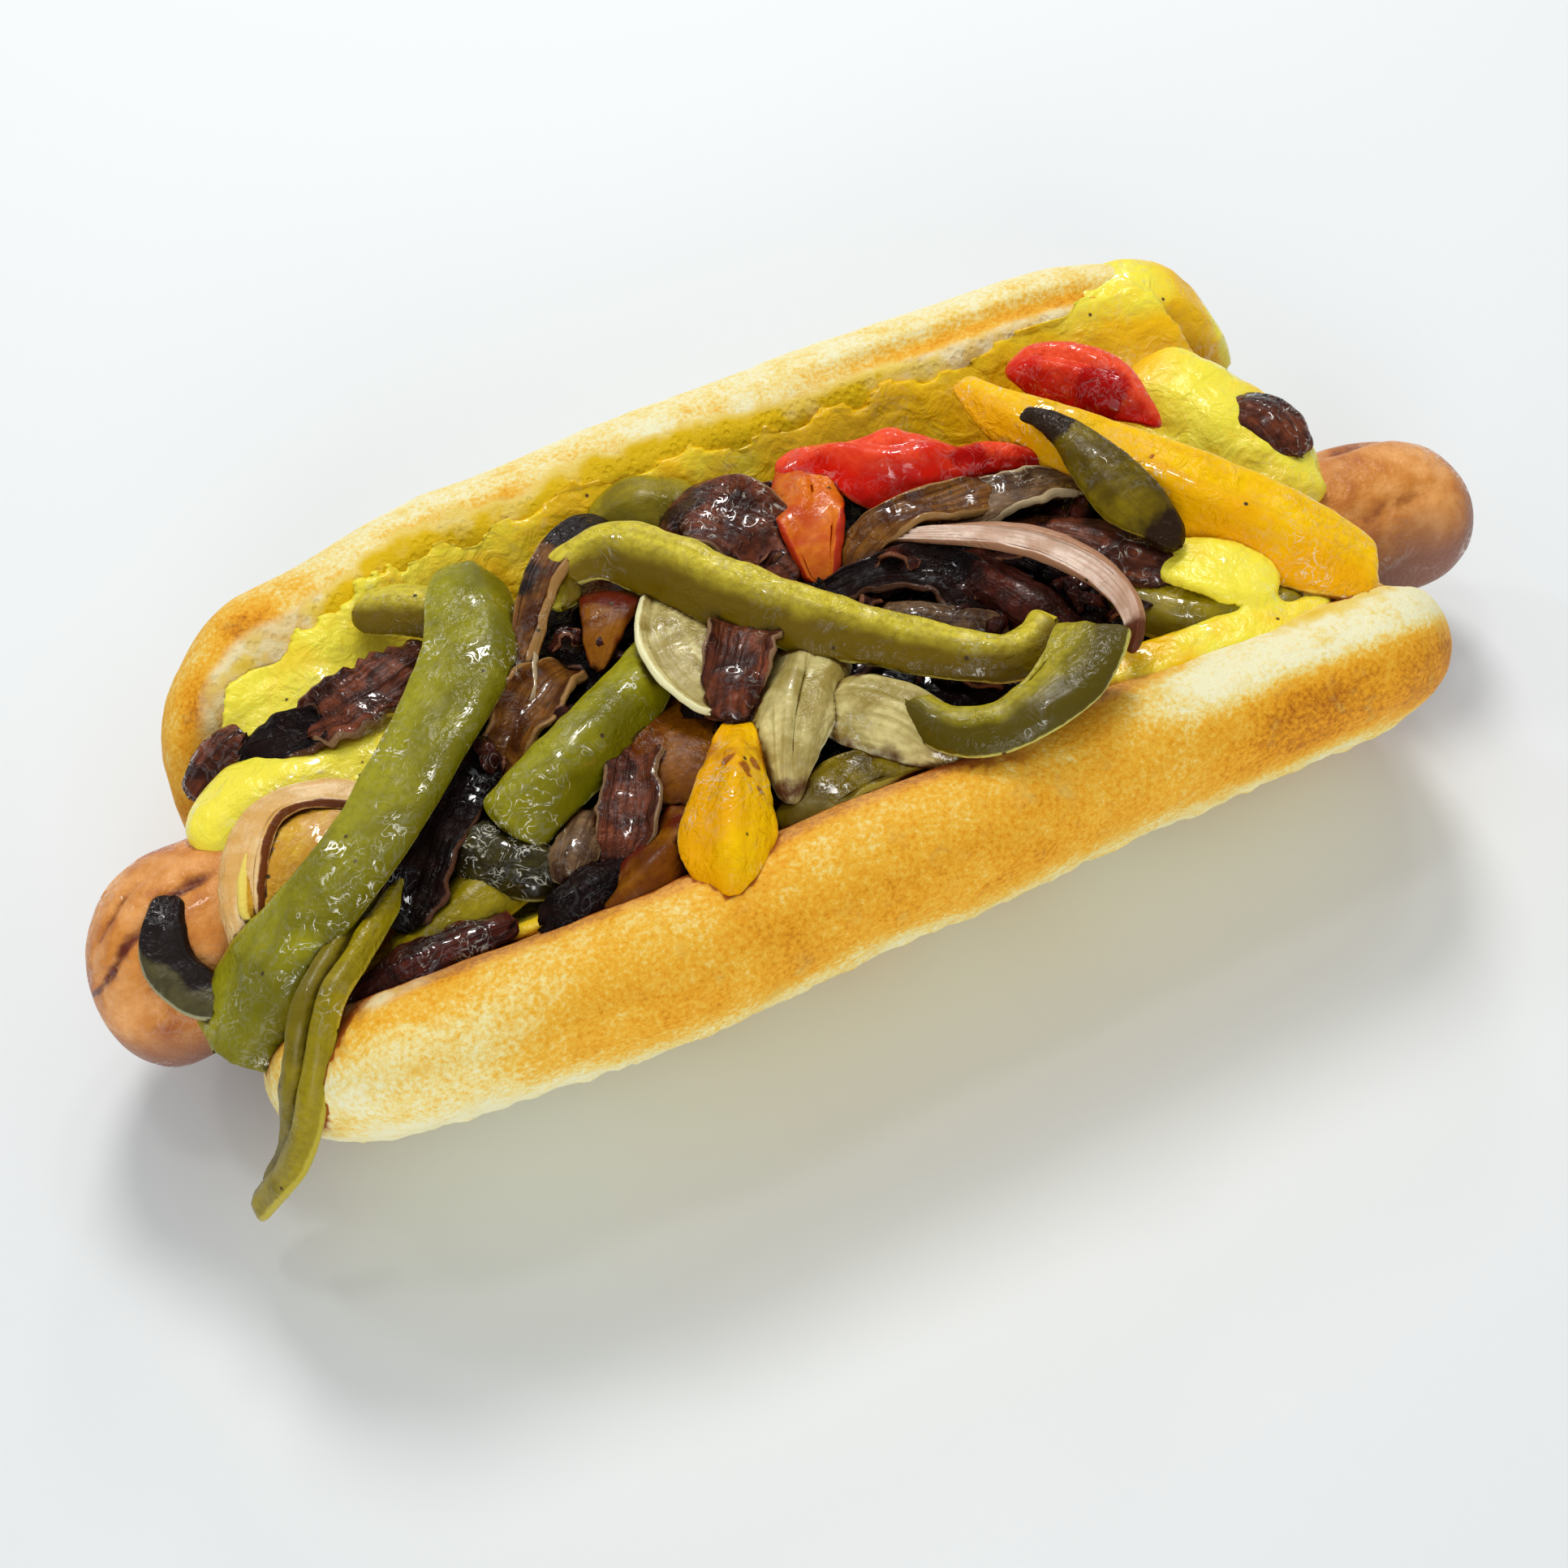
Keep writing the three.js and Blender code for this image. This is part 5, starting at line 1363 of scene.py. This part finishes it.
# Routes of the tongue over the sausage, the mound behind the yellow strip, and two thin spills.
TONGUE = [
    (-46, 0, 30.6, 10, 0),
    (-55, 0, 31, 11, 0),
    (-62, -0.2, 31.2, 12.4, 0),
    (-69, -1, 31.2, 13, 5),
    (-75.6, -2.8, 29.8, 10, 8),
]
MOUND = [
    (54, 18, 31.5, 11, 25),
    (58.5, 13, 32, 13, 20),
    (62.5, 6, 31.5, 14, 10),
    (65, -1, 30, 12, 5),
    (66, -9, 28, 8, 0),
]
LOBE = [
    (42.4, -13.4, 35.8, 6, 0),
    (45.6, -17.8, 36.6, 9.4, 0),
    (49.4, -21, 36.4, 9, 0),
    (54, -23, 35.4, 6, 0),
]
NEAR_SMEAR = [
    (27, -26.6, 34, 4, 0),
    (35, -27.6, 34.8, 6.4, 0),
    (42, -28.2, 34.8, 6.4, 0),
    (50, -28.4, 34.6, 5, 0),
    (58, -28, 34, 4, 0),
]
# The sauce that has run over the far rim: where it lies along x and round the half, its thickness,
# and how deep its inner side and its edges sink into the bread.
OVERRUN = {
    "start": 55, "end": 74.6, "inside": -0.10, "outside": 0.16, "thick": 1.1, "sunk": -1.8, "edge": -1.0,
}


def overrun_point(u, v):
    """A coat that follows the far half's rim and thins out at its edges."""
    share = 2 * v if v < 0.5 else 2 * (1 - v)
    start = OVERRUN["start"] + 3 * lumps((9 * share, 0, 0), 2.5, 4)
    x = blend(start, OVERRUN["end"], u)
    outside = OVERRUN["outside"] + 0.03 * lumps((x, 0, 0), 6, 3)
    skin = half_at(FAR_HALF, x, blend(OVERRUN["inside"], outside, share) % 1.0)
    oval = half_oval(FAR_HALF, x)
    outward = (skin - oval.middle - oval.out * (0.3 * oval.thick)).normalized()
    close = ease(0, 0.25, share) * ease(1, 0.7, share) * ease(0.1, 0.45, u + 0.14 * lumps(skin, 5, 8))
    lift = blend(OVERRUN["edge"], OVERRUN["thick"], close) if v < 0.5 else OVERRUN["sunk"]
    return skin + outward * lift


def lining_point(u, v):
    """The sauce's closed section at x, drawn straight between its twelve corners."""
    x = station(u, LINING[0][0], LINING[-1][0])
    far_top, near_top, far_pool, near_pool = read_at(LINING, x)
    far_top += uneven((x, 0, 0), FAR_EDGE) - 0.4
    near_top += 0.7 * lumps((x, 0, 0), 6, 14)
    far_y, far_z, far_lean = read_at(FAR_HALF["rows"], x)[:3]
    near_y, near_z, near_lean = read_at(NEAR_HALF["rows"], x)[:3]
    middle = read_at(SAUSAGE, x)[0]
    far_floor, near_floor = middle + CHANNEL_HALF_WIDTH, middle - CHANNEL_HALF_WIDTH

    def far(z, inset):
        return (far_y - (far_z - z) * math.tan(math.radians(far_lean)) - inset, z)

    def near(z, inset):
        return (near_y + (near_z - z) * math.tan(math.radians(near_lean)) + inset, z)

    corners = [
        far(far_top, BEHIND), far(CHANNEL_CORNER, BEHIND),
        (far_floor, CHANNEL_FLOOR), (near_floor, CHANNEL_FLOOR),
        near(CHANNEL_CORNER, BEHIND), near(near_top, BEHIND), near(near_top, 1.6), near(near_pool, COAT),
        (near_floor, near_pool - 2), (far_floor, far_pool - 0.5),
        far(far_pool, COAT + 1), far(far_top - 1.4, 0.8),
    ]
    s = (v % 1.0) * len(corners)
    i = int(s) % len(corners)
    a, b = corners[i], corners[(i + 1) % len(corners)]
    t = s - int(s)
    close = math.sqrt(max(0, 1 - abs(2 * u - 1) ** 20))
    y, z = blend(a[0], b[0], t), blend(a[1], b[1], t)
    return Vector((x, blend(middle, y, close), blend(CHANNEL_MIDDLE, z, close)))


def sauce_skin(point, normal):
    return point + normal * uneven(point, SAUCE_WAVES)


def soaked_rule(point):
    """1 where the sauce has soaked in and gone golden, 0 where it lies thick."""
    x, y = point.x, point.y
    soaked = 0.3 * ease(-50, -20, x) * ease(58, 46, x)
    soaked *= 1 - ease(36, 42, x) * ease(-8, -12, y)
    soaked += 0.6 * ease(52, 57, x) * ease(74, 70, x) * ease(35.5, 31, point.z) * ease(12, 20, y)
    return clamp(soaked + 0.1 - 0.12 * ease(-50, -60, x) + 0.2 * lumps(point, 8, 6))


def mustard():
    bm = bmesh.new()
    lay_form(bm, *LINING_GRID, lining_point)
    lay_form(bm, *OVERRUN_GRID, overrun_point)
    band(bm, TONGUE, 4.2, (ARCHED,), (4, 5), seed=2, crinkle=0)
    band(bm, MOUND, 5, (ARCHED,), (4, 4), seed=5, crinkle=0)
    band(bm, LOBE, 1.8, (FLAT,), (1.5, 1.5), seed=6, crinkle=0)
    band(bm, NEAR_SMEAR, 1.8, (FLAT,), (3, 3), seed=8, crinkle=0)
    bm = fuse(bm, "mustard", SAUCE_VOXEL, SAUCE_ROUNDS)
    sculpt(bm, sauce_skin)
    mark(bm, "soaked", soaked_rule)
    return show(bm, "mustard_sauce", MUSTARD, "mustard")


# Painted shade where the pieces lie against each other

GAP_SHADE_REACH = 5 * MM
GAP_SHADE_START = 0.1 * MM
GAP_SHADE_DIRECTIONS = 18
GAP_SHADE_LOWEST = 21 * MM
GAP_SHADE_LEAST_UP = -0.5
GAP_SHADE_LEAST_SHARE = 0.1
GOLDEN_TURN = 2.39996


def all_round(count):
    """Directions spread evenly all round."""
    spread = []
    for i in range(count):
        rise = 1 - (2 * i + 1) / count
        turn = GOLDEN_TURN * i
        flat = math.sqrt(1 - rise * rise)
        spread.append(Vector((math.cos(turn) * flat, math.sin(turn) * flat, rise)))
    return spread


def hemmed_in(tree, vert, directions):
    """How closely a tree of faces hems in a vertex, from 0 in the open to 1 deep between them."""
    shut, whole = 0.0, 0.0
    outward = vert.normal
    start = vert.co + outward * GAP_SHADE_START
    for way in directions:
        share = way.dot(outward)
        if share > GAP_SHADE_LEAST_SHARE:
            whole += share
            gone = tree.ray_cast(start, way, GAP_SHADE_REACH)[3]
            if gone is not None:
                shut += share * (1 - gone / GAP_SHADE_REACH)
    return shut / whole if whole else 0.0


def bake_gap_shade(pieces, sauce):
    """Keeps for each upper spot how closely the pieces hem it in, which the finishes paint as shade.

    The sauce soaks into what it touches, so it hems nothing in.
    """
    crowd = bmesh.new()
    for piece in pieces:
        if piece is not sauce:
            crowd.from_mesh(piece.data)
    tree = BVHTree.FromBMesh(crowd)
    crowd.free()
    directions = all_round(GAP_SHADE_DIRECTIONS)
    for piece in pieces:
        hemmed = []
        for vert in piece.data.vertices:
            upper = vert.co.z > GAP_SHADE_LOWEST and vert.normal.z > GAP_SHADE_LEAST_UP
            hemmed.append(hemmed_in(tree, vert, directions) if upper else 0.0)
        piece.data.attributes.new("gap_shade", "FLOAT", "POINT").data.foreach_set("value", hemmed)


# The studio

CAMERA_AIM = Vector((-7.83, -15.68, 20)) * MM
CAMERA_AZIMUTH = -17.5
CAMERA_ELEVATION = 52
CAMERA_ROLL = -5.5
CAMERA_DISTANCE = 280 * MM
CAMERA_LENS = 53.33
CAMERA_SENSOR = 36
STAGE_REACH = 3
STAGE_COLOUR = (0.83, 0.855, 0.865)
SKY_COLOUR = (0.93, 0.97, 1.0, 1)
SKY_STRENGTH = 0.44
# Rows: name, azimuth, elevation, distance and size in metres, power, colour.
LIGHTS = [
    ("window behind", 166, 54, 0.9, 0.26, 3.4, (1.0, 0.98, 0.95)),
    ("small window, left", -140, 44, 0.9, 0.11, 0.4, (1, 1, 1)),
    ("small window, middle", 158, 34, 0.9, 0.11, 0.4, (1, 1, 1)),
    ("small window, right", 138, 58, 0.9, 0.11, 0.4, (1, 1, 1)),
    ("small window, top", -150, 78, 0.9, 0.11, 0.4, (1, 1, 1)),
    ("lamp in front", -18, 20, 1.1, 0.6, 4.3, (1, 1, 1)),
]


def looking(back, roll=0.0):
    """A turn that looks against back, with the world's up kept upright."""
    right = UP.cross(back).normalized()
    up = back.cross(right)
    c, s = math.cos(math.radians(roll)), math.sin(math.radians(roll))
    right, up = right * c + up * s, up * c - right * s
    return Matrix((right, up, back)).transposed().to_4x4()


def direction(azimuth, elevation):
    a, e = math.radians(azimuth), math.radians(elevation)
    return Vector((math.sin(a) * math.cos(e), -math.cos(a) * math.cos(e), math.sin(e)))


def camera():
    back = direction(CAMERA_AZIMUTH, CAMERA_ELEVATION)
    data = bpy.data.cameras.new("camera")
    data.lens = CAMERA_LENS
    data.sensor_width = CAMERA_SENSOR
    made = add_object("camera", data)
    made.matrix_world = Matrix.Translation(CAMERA_AIM + back * CAMERA_DISTANCE) @ looking(back, CAMERA_ROLL)
    bpy.context.scene.camera = made


def softbox(name, azimuth, elevation, distance, size, power, colour):
    back = direction(azimuth, elevation)
    data = bpy.data.lights.new(name, "AREA")
    data.shape = "DISK"
    data.size = size
    data.energy = power
    data.color = colour
    add_object(name, data).matrix_world = Matrix.Translation(back * distance) @ looking(back)


def pale_floor():
    bm = bmesh.new()
    bmesh.ops.create_grid(bm, x_segments=2, y_segments=2, size=STAGE_REACH)
    mesh = to_mesh(bm, "floor")
    mesh.materials.append(new_finish("pale floor", Roughness=0.6, Base_Color=STAGE_COLOUR)[0])
    floor = add_object("floor", mesh)


def sky():
    world = bpy.data.worlds.new("room")
    bpy.context.scene.world = world
    world.use_nodes = True
    background = world.node_tree.nodes["Background"]
    background.inputs["Color"].default_value = SKY_COLOUR
    background.inputs["Strength"].default_value = SKY_STRENGTH


def studio():
    camera()
    pale_floor()
    for light in LIGHTS:
        softbox(*light)
    sky()
    bpy.context.scene.view_settings.view_transform = "Standard"


studio()
bun()
sausage()
sauce = mustard()
heap()
strips()
bake_gap_shade(PIECES, sauce)
